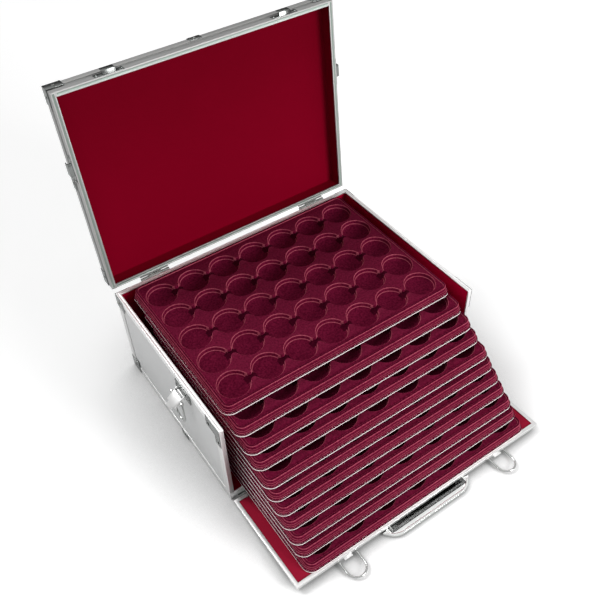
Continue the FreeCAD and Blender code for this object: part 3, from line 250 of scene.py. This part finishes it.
panel_finish = aluminium("aluminium_sheet", (0.70, 0.705, 0.705, 1), (0.66, 0.665, 0.665, 1), 0.5, 0.25)
profile_finish = aluminium("aluminium_profile", (0.82, 0.815, 0.81, 1), (0.75, 0.75, 0.745, 1), 0.40, 0.15)
# The body's rim is a paler copy of the profile aluminium: painted light.
rim_lit_finish = aluminium("aluminium_painted_lit_for_the_rim", (0.98, 0.98, 0.975, 1), (0.93, 0.93, 0.925, 1), 0.42, 0.12)
# The lid's sheet and profiles are darker copies of the same aluminium: painted shade.
lid_panel_shaded_finish = aluminium("aluminium_sheet_painted_shaded_for_the_lid", (0.34, 0.345, 0.34, 1), (0.30, 0.305, 0.30, 1),
                             0.5, 0.2)
lid_profile_shaded_finish = aluminium("aluminium_profile_painted_shaded_for_the_lid", (0.46, 0.455, 0.45, 1), (0.41, 0.41, 0.405, 1),
                               0.5, 0.12)
# The latch levers' near-white steel is a painted highlight.
satin_painted_lit_finish = aluminium("satin_steel_painted_lit", (0.95, 0.95, 0.945, 1), (0.90, 0.90, 0.895, 1), 0.42, 0.1)
# The lid rim's groove is painted a darker grey-green: painted shade in the recess.
groove_shade_finish = aluminium("seating_groove_painted_shade", (0.27, 0.32, 0.29, 1), (0.22, 0.27, 0.24, 1), 0.45, 0.1)


# %% Bright metals: chrome on the latches and the handle, nickel on hinges and rivets
def bright(name, colour, worn, rough):
    material, tree, shader = finish_tree(name, rough, metallic=1.0)
    haze = clouds(tree, 60.0)
    tree.links.new(mix_colour(tree, haze, worn, colour), shader.inputs["Base Color"])
    tree.links.new(spread(tree, haze, rough, rough + 0.07), shader.inputs["Roughness"])
    bump(tree, shader, placed(tree, grain, Scale=400.0, Detail=2.0), 0.04, 0.05 * MM)
    return material


chrome_finish = bright("bright_chrome", (0.88, 0.89, 0.88, 1), (0.78, 0.79, 0.78, 1), 0.12)
# A much darker copy of the bright metal for brackets, catches and latch bases, and a darker one for the loops:
# painted dark reflections.
pressed_painted_dark_finish = bright("pressed_metal_painted_dark", (0.27, 0.28, 0.275, 1), (0.20, 0.21, 0.205, 1), 0.2)
wire_painted_dark_finish = bright("wire_painted_dark", (0.58, 0.59, 0.58, 1), (0.48, 0.49, 0.48, 1), 0.12)
nickel_finish = bright("nickel_plate", (0.34, 0.345, 0.335, 1), (0.25, 0.26, 0.25, 1), 0.22)


# %% Cloths: crimson velvet and wine red flock
# The sheen is the pile's own glow, in the pile's own red. A white sheen would turn the cloth pink.
def cloth(name, deep, lit, sheen_tint, sheen, pile_scale, pile_depth, speckle):
    material, tree, shader = finish_tree(name, 0.95, Sheen_Weight=sheen, Sheen_Roughness=0.45,
                                         Specular_IOR_Level=0.03)
    shader.inputs["Sheen Tint"].default_value = sheen_tint
    pile = placed(tree, grain, Scale=pile_scale, Detail=4.0)
    tufts = placed(tree, grain, Scale=0.38 * pile_scale, Detail=1.0)
    nap = maths(tree, "ADD", maths(tree, "MULTIPLY", clouds(tree, 14.0), 1 - speckle),
                maths(tree, "MULTIPLY", tufts, speckle))
    colour = mix_colour(tree, spread(tree, nap, 0.0, 1.0), deep, lit)
    tree.links.new(colour, shader.inputs["Base Color"])
    bump(tree, shader, pile, pile_depth, 0.15 * MM)
    return material, tree, shader, colour


VELVET_SHEEN = (1.0, 0.01, 0.06, 1)
VELVET_PILE = {"sheen": 0.12, "pile_scale": 1500.0, "pile_depth": 0.25, "speckle": 0.5}
velvet_finish = cloth("crimson_velvet", (0.170, 0.0, 0.0085, 1), (0.190, 0.0, 0.0105, 1), VELVET_SHEEN,
                      **VELVET_PILE)[0]
# The walls' and the flap's velvet are paler copies of the same velvet: painted light.
wall_velvet_painted_lit = cloth("crimson_velvet_painted_lit_for_the_walls", (0.350, 0.0, 0.022, 1), (0.395, 0.0, 0.027, 1),
                    VELVET_SHEEN, **VELVET_PILE)[0]
flap_velvet_painted_lit = cloth("crimson_velvet_painted_lit_for_the_flap", (0.275, 0.008, 0.027, 1), (0.315, 0.011, 0.034, 1),
                    (1.0, 0.06, 0.12, 1), **VELVET_PILE)[0]
# Lid velvet: painted shade overall, and painted paler near its hinges where the trays' glow reaches it.
lid_velvet_painted_shade, tree, shader, colour = cloth("crimson_velvet_painted_shaded_for_the_lid", (0.125, 0.0, 0.0062, 1),
                                         (0.140, 0.0, 0.0076, 1), VELVET_SHEEN, **VELVET_PILE)
spot = add(tree, "ShaderNodeTexCoord")
level = add(tree, "ShaderNodeSeparateXYZ", {0: spot.outputs["Object"]}).outputs["Z"]
rise = add(tree, "ShaderNodeMapRange", {"Value": level, "From Min": 0.15, "From Max": 0.40}).outputs["Result"]
tree.links.new(mix_colour(tree, rise, (0.205, 0.0, 0.0115, 1), colour), shader.inputs["Base Color"])
FLOCK_SHEEN = (1.0, 0.06, 0.14, 1)
flock_finish, tree, shader, colour = cloth("wine_flock", (0.070, 0.0012, 0.0130, 1), (0.160, 0.0075, 0.034, 1),
                                           FLOCK_SHEEN, 0.09, 1000.0, 0.6, 0.8)
# The formed edges are painted paler here: a painted highlight.
painted_edge_shine = placed(tree, edges, From=0.52, To=0.60)
tree.links.new(mix_colour(tree, painted_edge_shine, colour, (0.24, 0.03, 0.065, 1)), shader.inputs["Base Color"])
# A paler copy of the flock, painted on the rim's ridges and about the seats: a painted highlight.
crest_highlight_finish = cloth("flock_painted_highlight", (0.26, 0.035, 0.065, 1), (0.42, 0.09, 0.13, 1), FLOCK_SHEEN,
                     0.12, 1000.0, 0.6, 0.7)[0]
# A darker copy of the flock, painted on the necks' floors and in the rim's groove: painted shade.
groove_shade_flock = cloth("flock_painted_shade_in_a_groove", (0.030, 0.0006, 0.0060, 1), (0.070, 0.002, 0.014, 1), FLOCK_SHEEN,
                     0.03, 1000.0, 0.6, 0.8)[0]

# %% The trays' cut edge, and the handle's black pad
cut_finish, tree, shader = finish_tree("cut_edge", 0.5)
tree.links.new(mix_colour(tree, clouds(tree, 120.0), (0.98, 0.88, 0.88, 1), (1.0, 0.97, 0.96, 1)),
               shader.inputs["Base Color"])
pad_finish, tree, shader = finish_tree("black_pad", 0.75, Specular_IOR_Level=0.04)
tree.links.new(mix_colour(tree, clouds(tree, 150.0), (0.003, 0.004, 0.0035, 1), (0.006, 0.007, 0.0065, 1)),
               shader.inputs["Base Color"])
bump(tree, shader, placed(tree, grain, Scale=1400.0, Detail=3.0), 0.12, 0.05 * MM)
finishes = {"panel": panel_finish, "profile": profile_finish, "chrome": chrome_finish, "steel": nickel_finish,
            "velvet": velvet_finish, "flock": flock_finish, "black_plastic": pad_finish}
print("finishes by slot:", sorted(finishes))

# %% [markdown]
# ## Metalwork with real edges
# A pressed bracket or a drawn profile has no razor edge: its rounding catches a thin line of light. Each metal
# node is copied, its loose triangles are joined into clean faces, and a small bevel rounds every hard edge.
# The copy then stands for the node, and rides on the same body.

# %% A copy with rounded edges
def paint(piece, *materials):
    """Give a piece its materials. Clearing the old ones resets each face's choice, so the choices are kept."""
    choices = [face.material_index for face in piece.data.polygons]
    piece.data.materials.clear()
    for material in materials:
        piece.data.materials.append(material)
    piece.data.polygons.foreach_set("material_index", choices)


def clean_copy(node):
    """A copy of a node's mesh with its triangles joined into whole faces."""
    piece = bpy.data.objects.new(f"{node}_formed", nodes[node].data.copy())
    bpy.context.scene.collection.objects.link(piece)
    edit(piece)
    bpy.ops.mesh.select_all(action="SELECT")
    bpy.ops.mesh.remove_doubles(threshold=0.002 * MM)
    bpy.ops.mesh.dissolve_limited(angle_limit=radians(1.0))
    done()
    return piece


def stand_for(piece, node, *materials):
    """Finish a piece that takes a node's place."""
    paint(piece, *(materials or [finishes[node_slot[node]]]))
    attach(piece, node_body[node])
    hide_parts(node)


def rounded(node, width, segments=2, angle=35, finish=None):
    """A copy of a node with its hard edges bevelled, in its slot's finish or in the one given."""
    piece = clean_copy(node)
    apply(piece, "BEVEL", width=width, segments=segments, limit_method="ANGLE", angle_limit=radians(angle))
    smooth(piece)
    stand_for(piece, node, *([finish] if finish else []))
    return piece


# %% Sheet brackets, hinges, latches and catches
# Brackets and clips take the much darker metal: painted dark reflections.
for node in ("body_corner_brackets", "body_edge_clips", "lid_corner_brackets", "lid_edge_clips"):
    rounded(node, 0.3 * MM, finish=pressed_painted_dark_finish)
for node in ("body_rivets", "lid_rivets"):
    rounded(node, 0.55 * MM, segments=3)
for node in ("back_hinge_body_leaves", "back_hinge_lid_leaves", "flap_hinge_body_leaf", "flap_hinge_flap_leaf"):
    rounded(node, 0.15 * MM, segments=1)
for node in ("back_hinge_pins", "flap_hinge_pin"):
    rounded(node, 0.2 * MM)
# Latch bases, catches and handle mounts take the much darker metal: painted dark reflections.
for node in ("side_latch_base_left", "side_latch_base_right", "front_latch_bases", "lid_front_catches",
             "lid_side_catches", "handle_mounts"):
    rounded(node, 0.2 * MM, finish=pressed_painted_dark_finish)
# Levers take near-white steel, a painted highlight; loops a darker metal, painted dark reflections.
for hand in ("left", "right"):
    rounded(f"front_latch_lever_{hand}", 0.3 * MM, finish=satin_painted_lit_finish)
    rounded(f"side_latch_lever_{hand}", 0.3 * MM, finish=satin_painted_lit_finish)
    for node in (f"front_latch_loop_{hand}", f"side_latch_loop_{hand}"):
        rounded(node, 0.1 * MM, segments=1, angle=60, finish=wire_painted_dark_finish)
print("hardware rounded")

# %% [markdown]
# ## Profiles
# The aluminium profiles are drawn sections. The rims carry a shallow groove along their face, into which the
# other half's rim seats when the case shuts. In the photograph it is the thin grey-green line in the white
# band. The groove is made as by hand: pick the rim's long face, inset it, and push the middle in.

# %% Profiles, with a seating groove in the rims
def grooved(node, outwards, margin, depth, finish, bottom):
    """Round a node's edges after cutting a groove in its faces that look outwards."""
    piece = clean_copy(node)
    paint(piece, finish, bottom)
    edit(piece)
    count = pick_faces(piece, lambda centre, normal: normal.dot(outwards) > 0.99)
    mesh = bmesh.from_edit_mesh(piece.data)
    for face in mesh.faces:
        face.select = face.select and face.calc_area() > LONG_FACE
    bmesh.update_edit_mesh(piece.data)
    bpy.ops.mesh.inset(thickness=margin, depth=0.0, use_individual=True)
    bpy.ops.mesh.inset(thickness=0.15 * MM, depth=-depth, use_individual=True)
    mesh = bmesh.from_edit_mesh(piece.data)
    for face in mesh.faces:
        face.material_index = int(face.select)
    bmesh.update_edit_mesh(piece.data)
    done()
    apply(piece, "BEVEL", width=0.3 * MM, segments=2, limit_method="ANGLE", angle_limit=radians(40))
    smooth(piece)
    stand_for(piece, node, finish, bottom)
    print(node, "outward faces:", count)
    return piece


LID_ANGLE = radians(95.2)
lid_faces = Vector((0, -sin(LID_ANGLE), -cos(LID_ANGLE)))
LONG_FACE = 1e-3
# The lid's rim is painted shade, with a painted-shade groove; the body's rim is painted light.
grooved("lid_rim_profiles", lid_faces, 1.5 * MM, 0.5 * MM, lid_profile_shaded_finish, groove_shade_finish)
grooved("rim_profiles", Vector((0, 0, 1)), 2.3 * MM, 0.35 * MM, rim_lit_finish, panel_finish)
rounded("lid_edge_profiles", 0.35 * MM, finish=lid_profile_shaded_finish)
for node in ("base_profiles", "front_end_profiles", "rear_corner_profiles", "flap_frame"):
    rounded(node, 0.35 * MM)

# %% [markdown]
# ## The handle
# The handle is a pressed chrome bow: a wide bar with two fine lines along it, shoulders that sweep down to the
# legs, and a black pad under the bar for the fingers. Its outline comes from the node's own corners, so the
# copy is bevelled strongly for the soft pressing, and the lines are cut with a knife-thin inset.

# %% The bow and its pad
def handle_bow():
    piece = clean_copy("handle_grip")
    low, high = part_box("handle_grip")
    edit(piece)
    bpy.ops.mesh.select_mode(type="EDGE")
    mesh = bmesh.from_edit_mesh(piece.data)
    for line in mesh.edges:
        outermost = max(vert.co.y for vert in line.verts) < low.y + 1.5 * MM
        line.select = outermost and abs(line.verts[0].co.z - line.verts[1].co.z) > 0.9 * line.calc_length()
    bmesh.update_edit_mesh(piece.data)
    bpy.ops.mesh.bevel(offset=9 * MM, segments=8, affect="EDGES")
    bpy.ops.mesh.select_mode(type="FACE")
    pick_faces(piece, lambda centre, normal: normal.z > 0.9 and centre.y < low.y + 0.03)
    bpy.ops.mesh.inset(thickness=3.2 * MM, depth=0.0)
    bpy.ops.mesh.inset(thickness=0.5 * MM, depth=-0.35 * MM)
    bpy.ops.mesh.inset(thickness=0.5 * MM, depth=0.35 * MM)
    done()
    apply(piece, "BEVEL", width=0.9 * MM, segments=3, limit_method="ANGLE", angle_limit=radians(50))
    smooth(piece, 40)
    stand_for(piece, "handle_grip")
    print("handle", [round(side / MM, 1) for side in high - low])


handle_bow()
rounded("handle_pad", 0.8 * MM, segments=3)

# %% [markdown]
# ## Linings
# The walls, the lid and the flap are faced with velvet on card. Such a lining is never dead flat: it is a
# little full where it was smoothed down by hand. Each lining node is copied, its faces are cut into a grid,
# and every point is moved a few hundredths of a millimetre by a soft cloud texture.

# %% Velvet linings
fullness = bpy.data.textures.new("fullness", "CLOUDS")
fullness.noise_scale = 0.05


def lined(node, cuts, finish, swell=0.12 * MM):
    piece = clean_copy(node)
    edit(piece)
    bpy.ops.mesh.select_all(action="SELECT")
    bpy.ops.mesh.bevel(offset=0.2 * MM, segments=2, affect="EDGES")
    bpy.ops.mesh.quads_convert_to_tris()
    bpy.ops.mesh.subdivide(number_cuts=cuts)
    done()
    apply(piece, "DISPLACE", texture=fullness, texture_coords="LOCAL", strength=swell, mid_level=0.6)
    smooth(piece, 50)
    stand_for(piece, node, finish)
    return piece


# The walls and the flap take painted-light velvet, the lid painted-shade velvet.
lined("lid_lining", 6, lid_velvet_painted_shade)
for node in ("side_linings", "back_lining"):
    lined(node, 6, wall_velvet_painted_lit)
lined("flap_lining", 6, flap_velvet_painted_lit)
lined("bottom_pad", 6, velvet_finish, 0.4 * MM)
print("linings faced")

# %% [markdown]
# ## Panels
# The wall panels keep their own meshes: flat boards faced with aluminium sheet. They only need the finish.

# %% Boards
for node in ("side_board_left", "side_board_right", "back_board", "bottom_board", "flap_board"):
    paint(nodes[node], panel_finish)
# The lid's boards take the darker copy of the sheet: painted shade.
for node in ("lid_top_board", "lid_side_boards"):
    paint(nodes[node], lid_panel_shaded_finish)

# %% [markdown]
# ## Trays
# A tray is one sheet, formed hot over a mould and then cut out: a flat cut edge, a stepped side, a raised
# rim, and a sunk field of round seats. Each seat is a broad bowl with a sloping ring about it and a short
# neck to the next one, so that a thumb can tip the coin out. It is modelled once, in three stages. First
# the outside is drawn up from a flat plate by insets and lifts. Then one block with all the seats' forms is
# taken away from it. Last the underside is opened, and the skin is given its thickness, so that the cups
# show below as on the real sheet.

# %% The tray's sizes
tray_low, tray_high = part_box("tray_01")
TRAY = tray_high - tray_low
CORNER = 14 * MM
EDGE = 1.8 * MM
COLUMNS, ROWS = 7, 5
PITCH = Vector((49.8 * MM, 48.1 * MM, 0))
GRID_SHIFT = -2.5 * MM
RING = 22.2 * MM
SKIN = 1.0 * MM
# Each step of the side is how far in it goes and how far up, from the cut edge to the rim and the field.
STEPS = [(1.5, 0.0), (0.35, 2.6), (0.75, 0.15), (0.3, 2.5), (0.65, 0.15), (0.4, 4.5), (0.5, 0.8),
         (1.2, 0.0), (0.25, -0.35), (0.3, 0.0), (0.25, 0.35), (0.5, 0.0), (0.6, -1.0)]
FIELD = EDGE + sum(rise for inset, rise in STEPS) * MM
# A seat's punch goes down from the ring: how far in and how far down.
LIP = 0.4 * MM
SEAT_STEPS = [(0.8, 0.5), (0.9, 4.0), (0.7, 0.9), (3.4, 2.1), (4.8, 1.4), (5.5, 0.6)]
NECK, NECK_LENGTH, NECK_DEPTH = 10.0 * MM, 22 * MM, 5.2 * MM
# How much wider the neck is, by how far along it is from its middle to its end.
FLARE = {0.0: 1.0, 0.25: 1.2, 0.5: 1.9, 0.75: 2.7, 1.0: 3.2}
NECK_FLOOR_SHARE = 0.75
# How far the painted shade on a neck reaches from the middle of its floor: along, across and up.
NECK_SHADE_REACH = (8.5 * MM, 6 * MM, 3 * MM)


# %% The outside, drawn up from a plate
def tray_block():
    bpy.ops.mesh.primitive_cube_add(size=1, location=(0, 0, EDGE / 2))
    block = bpy.context.active_object
    block.scale = (TRAY.x, TRAY.y, EDGE)
    settle(block)
    edit(block)
    mesh = bmesh.from_edit_mesh(block.data)
    bpy.ops.mesh.select_mode(type="EDGE")
    for line in mesh.edges:
        line.select = abs(line.verts[0].co.z - line.verts[1].co.z) > EDGE / 2
    bmesh.update_edit_mesh(block.data)
    bpy.ops.mesh.bevel(offset=CORNER, segments=8, affect="EDGES")
    bpy.ops.mesh.select_mode(type="FACE")
    pick_faces(block, lambda centre, normal: normal.z > 0.9)
    for inset, rise in STEPS:
        bpy.ops.mesh.inset(thickness=inset * MM, depth=0.0)
        bpy.ops.transform.translate(value=(0, 0, rise * MM))
    done()
    return block


# %% The forms of the seats and necks
CLEAR = 4 * MM


def seat_form(x, y):
    """One seat: a sloping ring, a steep wall and a dished floor, drawn down by insets like a turned punch."""
    bpy.ops.mesh.primitive_cylinder_add(vertices=44, radius=RING, depth=CLEAR,
                                        location=(x, y, FIELD - LIP + CLEAR / 2), end_fill_type="NGON")
    punch = bpy.context.active_object
    edit(punch)
    pick_faces(punch, lambda centre, normal: normal.z < -0.9)
    for inset, sink in SEAT_STEPS:
        bpy.ops.mesh.inset(thickness=inset * MM, depth=0.0)
        bpy.ops.transform.translate(value=(0, 0, -sink * MM))
    done()
    return punch


def neck_form(x, y):
    """The neck between two seats: a channel that flares at both ends, with sloping flanks."""
    bpy.ops.mesh.primitive_cube_add(size=1, location=(0, 0, (CLEAR - NECK_DEPTH) / 2))
    channel = bpy.context.active_object
    channel.scale = (NECK_LENGTH, NECK, NECK_DEPTH + CLEAR)
    settle(channel)
    edit(channel)
    bpy.ops.mesh.select_mode(type="EDGE")
    mesh = bmesh.from_edit_mesh(channel.data)
    for line in mesh.edges:
        line.select = abs(line.verts[0].co.x - line.verts[1].co.x) > NECK_LENGTH / 2
    bmesh.update_edit_mesh(channel.data)
    bpy.ops.mesh.subdivide(number_cuts=2 * len(FLARE) - 3)
    bpy.ops.mesh.select_mode(type="VERT")
    for share, wider in FLARE.items():
        mesh = bmesh.from_edit_mesh(channel.data)
        for corner in mesh.verts:
            corner.select = abs(abs(corner.co.x) - share * NECK_LENGTH / 2) < 0.01 * MM
        mesh.select_flush_mode()
        bmesh.update_edit_mesh(channel.data)
        bpy.ops.transform.resize(value=(1, wider, 1))
    bpy.ops.mesh.select_mode(type="FACE")
    pick_faces(channel, lambda centre, normal: normal.z < -0.9)
    bpy.ops.transform.resize(value=(1, NECK_FLOOR_SHARE, 1))
    bpy.ops.mesh.select_all(action="SELECT")
    bpy.ops.transform.translate(value=(x, y, FIELD))
    done()
    return channel


def joined(pieces):
    bpy.ops.object.select_all(action="DESELECT")
    for piece in pieces:
        piece.select_set(True)
    bpy.context.view_layer.objects.active = pieces[0]
    bpy.ops.object.join()
    return bpy.context.active_object


# %% One tray, cut, rounded and opened below
BROAD = 40 * MM * MM
# The places of the tray's finishes after the first, which is its flock.
CUT, CREST_HIGHLIGHT, GROOVE_SHADE = 1, 2, 3
# Painted highlight bands where the pile catches the light, by how far in from the tray's outline and a seat's
# ring.
RIM_HIGHLIGHT_BANDS = [(1.85, 2.6), (2.9, 3.55), (3.95, 4.45), (6.95, 7.55)]
RIM_GROOVE = (5.65, 6.45)
SEAT_HIGHLIGHT_BANDS = [(0.0, 0.8), (1.7, 2.4)]


def between(value, bands):
    return any(low * MM < value < high * MM for low, high in bands)


def inwards(point):
    """How far a point is inside the tray's rounded outline."""
    across, deep = (abs(value) - side / 2 + CORNER for value, side in ((point.x, TRAY.x), (point.y, TRAY.y)))
    return CORNER - Vector((max(across, 0), max(deep, 0))).length - min(max(across, deep), 0)


def in_neck(away):
    """Whether a point this far from the middle of a neck's floor is on it or low on its flanks."""
    along, across, up = NECK_SHADE_REACH
    return abs(away.x) < along and abs(away.y) < across and away.z < up


def tray_master():
    tray = tray_block()
    paint(tray, flock_finish, cut_finish, crest_highlight_finish, groove_shade_flock)
    columns = [(column - (COLUMNS - 1) / 2) * PITCH.x for column in range(COLUMNS)]
    rows = [(row - (ROWS - 1) / 2) * PITCH.y + GRID_SHIFT for row in range(ROWS)]
    seats = [seat_form(x, y) for x in columns for y in rows]
    necks = [neck_form(x + PITCH.x / 2, y) for x in columns[:-1] for y in rows]
    hollows = [(x + PITCH.x / 2, y, FIELD - NECK_DEPTH) for x in columns[:-1] for y in rows]
    for forms in (seats, necks):
        for form in forms:
            settle(form)
        tool = joined(forms)
        apply(tray, "BOOLEAN", operation="DIFFERENCE", object=tool, solver="EXACT")
        bpy.data.objects.remove(tool)
    edit(tray)
    pick_faces(tray, lambda centre, normal: normal.z < -0.9 and centre.z < EDGE / 2)
    bpy.ops.mesh.delete(type="FACE")
    done()
    # Neck floors and the rim's groove get painted shade; the rim's ridges and the seats' rings get painted
    # highlight.
    for face in tray.data.polygons:
        seat_away = min((face.center - Vector((x, y, face.center.z))).length for x in columns for y in rows)
        if any(in_neck(face.center - Vector(place)) for place in hollows):
            face.material_index = GROOVE_SHADE
        elif between(RING - seat_away, SEAT_HIGHLIGHT_BANDS) and face.center.z < FIELD - 0.1 * MM:
            face.material_index = CREST_HIGHLIGHT
        elif between(inwards(face.center), RIM_HIGHLIGHT_BANDS):
            face.material_index = CREST_HIGHLIGHT
        elif between(inwards(face.center), [RIM_GROOVE]):
            face.material_index = GROOVE_SHADE
    apply(tray, "BEVEL", width=0.25 * MM, segments=2, limit_method="ANGLE", angle_limit=radians(24))
    apply(tray, "SOLIDIFY", thickness=SKIN, offset=-1.0, use_even_offset=False)
    smooth(tray, 40)
    # The broad flat faces are shaded flat, so that the small roundings beside them don't bend their light.
    for face in tray.data.polygons:
        face.use_smooth = face.area < BROAD
        if abs(face.normal.z) < 0.8 and face.center.z < EDGE * 1.05:
            face.material_index = CUT
    return tray


master = tray_master()
tray_top = max(vert.co.z for vert in master.data.vertices)
print("tray faces:", len(master.data.polygons), "height", round(tray_top / MM, 2))

# %% A copy in each tray's place
for number in range(1, 12):
    node = f"tray_{number:02d}"
    low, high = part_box(node)
    copy = bpy.data.objects.new(f"{node}_formed", master.data.copy())
    bpy.context.scene.collection.objects.link(copy)
    copy.data.transform(Matrix.Translation(((low.x + high.x) / 2, (low.y + high.y) / 2, low.z)))
    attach(copy, node_body[node])
    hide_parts(node)
bpy.data.objects.remove(master)

# %% [markdown]
# ## The set
# A large pale floor, a plain world and soft lamps. The floor can't be seen from below, so that views from
# under the table still show the case. White behind the case comes from Light Path, not from more light.

# %% Floor
FLOOR_SIZE = 12
FLOOR_DROP = 0.3 * MM
SHADOW_REACH = 0.165
bpy.ops.mesh.primitive_plane_add(size=FLOOR_SIZE, location=(0, 0, -FLOOR_DROP))
floor = bpy.context.active_object
floor.name = "floor"
floor_finish, tree, shader = finish_tree("pale_floor", 0.9)
shader.inputs["Specular IOR Level"].default_value = 0.0
# Near the case the floor is painted darker on every side by an occlusion mask: a painted soft grey edge of
# shadow.
nearness = add(tree, "ShaderNodeAmbientOcclusion", {"Distance": SHADOW_REACH}, samples=8)
openness = add(tree, "ShaderNodeMapRange", {"Value": nearness.outputs["AO"], "From Min": 0.40, "From Max": 0.92,
                                            "To Min": 0.0, "To Max": 1.0}).outputs["Result"]
painted_shadow_floor_colour = mix_colour(tree, openness, (0.42, 0.42, 0.42, 1), (0.93, 0.93, 0.93, 1))
tree.links.new(painted_shadow_floor_colour, shader.inputs["Base Color"])
shader.inputs["Emission Color"].default_value = (1, 1, 1, 1)
LIFT = 0.25
seen = add(tree, "ShaderNodeLightPath")
lifted = maths(tree, "MULTIPLY", seen.outputs["Is Camera Ray"], LIFT)
tree.links.new(maths(tree, "MULTIPLY", lifted, openness), shader.inputs["Emission Strength"])
output = tree.nodes["Material Output"]
below = add(tree, "ShaderNodeNewGeometry")
clear = add(tree, "ShaderNodeBsdfTransparent")
either = add(tree, "ShaderNodeMixShader", {0: below.outputs["Backfacing"], 1: shader.outputs[0],
                                           2: clear.outputs[0]})
tree.links.new(either.outputs[0], output.inputs["Surface"])
paint(floor, floor_finish)

# %% World
# Bright metal shows what stands round it. In a studio that is white paper above and a darker room at the
# height of the table, so that is what glossy rays meet: it draws the dark lines along chrome edges.
world = bpy.data.worlds.new("studio")
bpy.context.scene.world = world
world.use_nodes = True
tree = world.node_tree
sky = tree.nodes["Background"]
sky.inputs["Color"].default_value = (1, 1, 1, 1)
seen = add(tree, "ShaderNodeLightPath")
direct = maths(tree, "MAXIMUM", seen.outputs["Is Camera Ray"], seen.outputs["Is Transmission Ray"])
heading = add(tree, "ShaderNodeTexCoord")
height = add(tree, "ShaderNodeSeparateXYZ", {0: heading.outputs["Generated"]}).outputs["Z"]
room = add(tree, "ShaderNodeMapRange", {"Value": height, "From Min": 0.22, "From Max": 0.70, "To Min": 0.05,
                                        "To Max": 0.95}).outputs["Result"]
FILL = 0.35
glossy = seen.outputs["Is Glossy Ray"]
plain = add(tree, "ShaderNodeMix", {0: glossy, 2: FILL, 3: room}, data_type="FLOAT").outputs[0]
level = add(tree, "ShaderNodeMix", {0: direct, 2: plain, 3: 1.0}, data_type="FLOAT").outputs[0]
tree.links.new(level, sky.inputs["Strength"])


# %% Lamps
# The back light comes from far behind the lid on the left, like a window's, so that the lid's soft shadow
# falls forward to the right. A low lamp in front lights the trays' steps.
def aimed(name, data, place, aim):
    item = bpy.data.objects.new(name, data)
    bpy.context.scene.collection.objects.link(item)
    item.location = place
    item.rotation_euler = (Vector(aim) - Vector(place)).to_track_quat("-Z", "Y").to_euler()


MIDDLE = (0, -0.05, 0.1)
back_light = bpy.data.lights.new("back_light", "SUN")
back_light.energy = 1.75
back_light.angle = radians(26)
aimed("back_light", back_light, (-0.9, 1.15, 1.65), MIDDLE)
front_lamp = bpy.data.lights.new("front_lamp", "AREA")
front_lamp.size = 0.8
front_lamp.energy = 36
aimed("front_lamp", front_lamp, (0.75, -1.9, 0.85), MIDDLE)

# %% [markdown]
# ## The camera
# The photograph looks down on the case from the front left. The camera's place, its aim and its slight roll
# were fitted to the case's corners in the picture.

# %% Camera
CAMERA_AT = Vector((-393.41, -632.04, 877.37)) * MM
CAMERA_AIM = Vector((26.64, 22.32, 100.0)) * MM
CAMERA_ROLL = -0.0455
FOCAL_PIXELS = 755.62
PICTURE_WIDTH = 600
camera = bpy.data.cameras.new("camera")
camera.sensor_width = 36
camera.lens = FOCAL_PIXELS / PICTURE_WIDTH * camera.sensor_width
view = bpy.data.objects.new("camera", camera)
bpy.context.scene.collection.objects.link(view)
turn = (CAMERA_AIM - CAMERA_AT).to_track_quat("-Z", "Y").to_matrix().to_4x4()
view.matrix_world = Matrix.Translation(CAMERA_AT) @ turn @ Matrix.Rotation(CAMERA_ROLL, 4, "Z")
bpy.context.scene.camera = view
bpy.context.scene.view_settings.view_transform = "Standard"
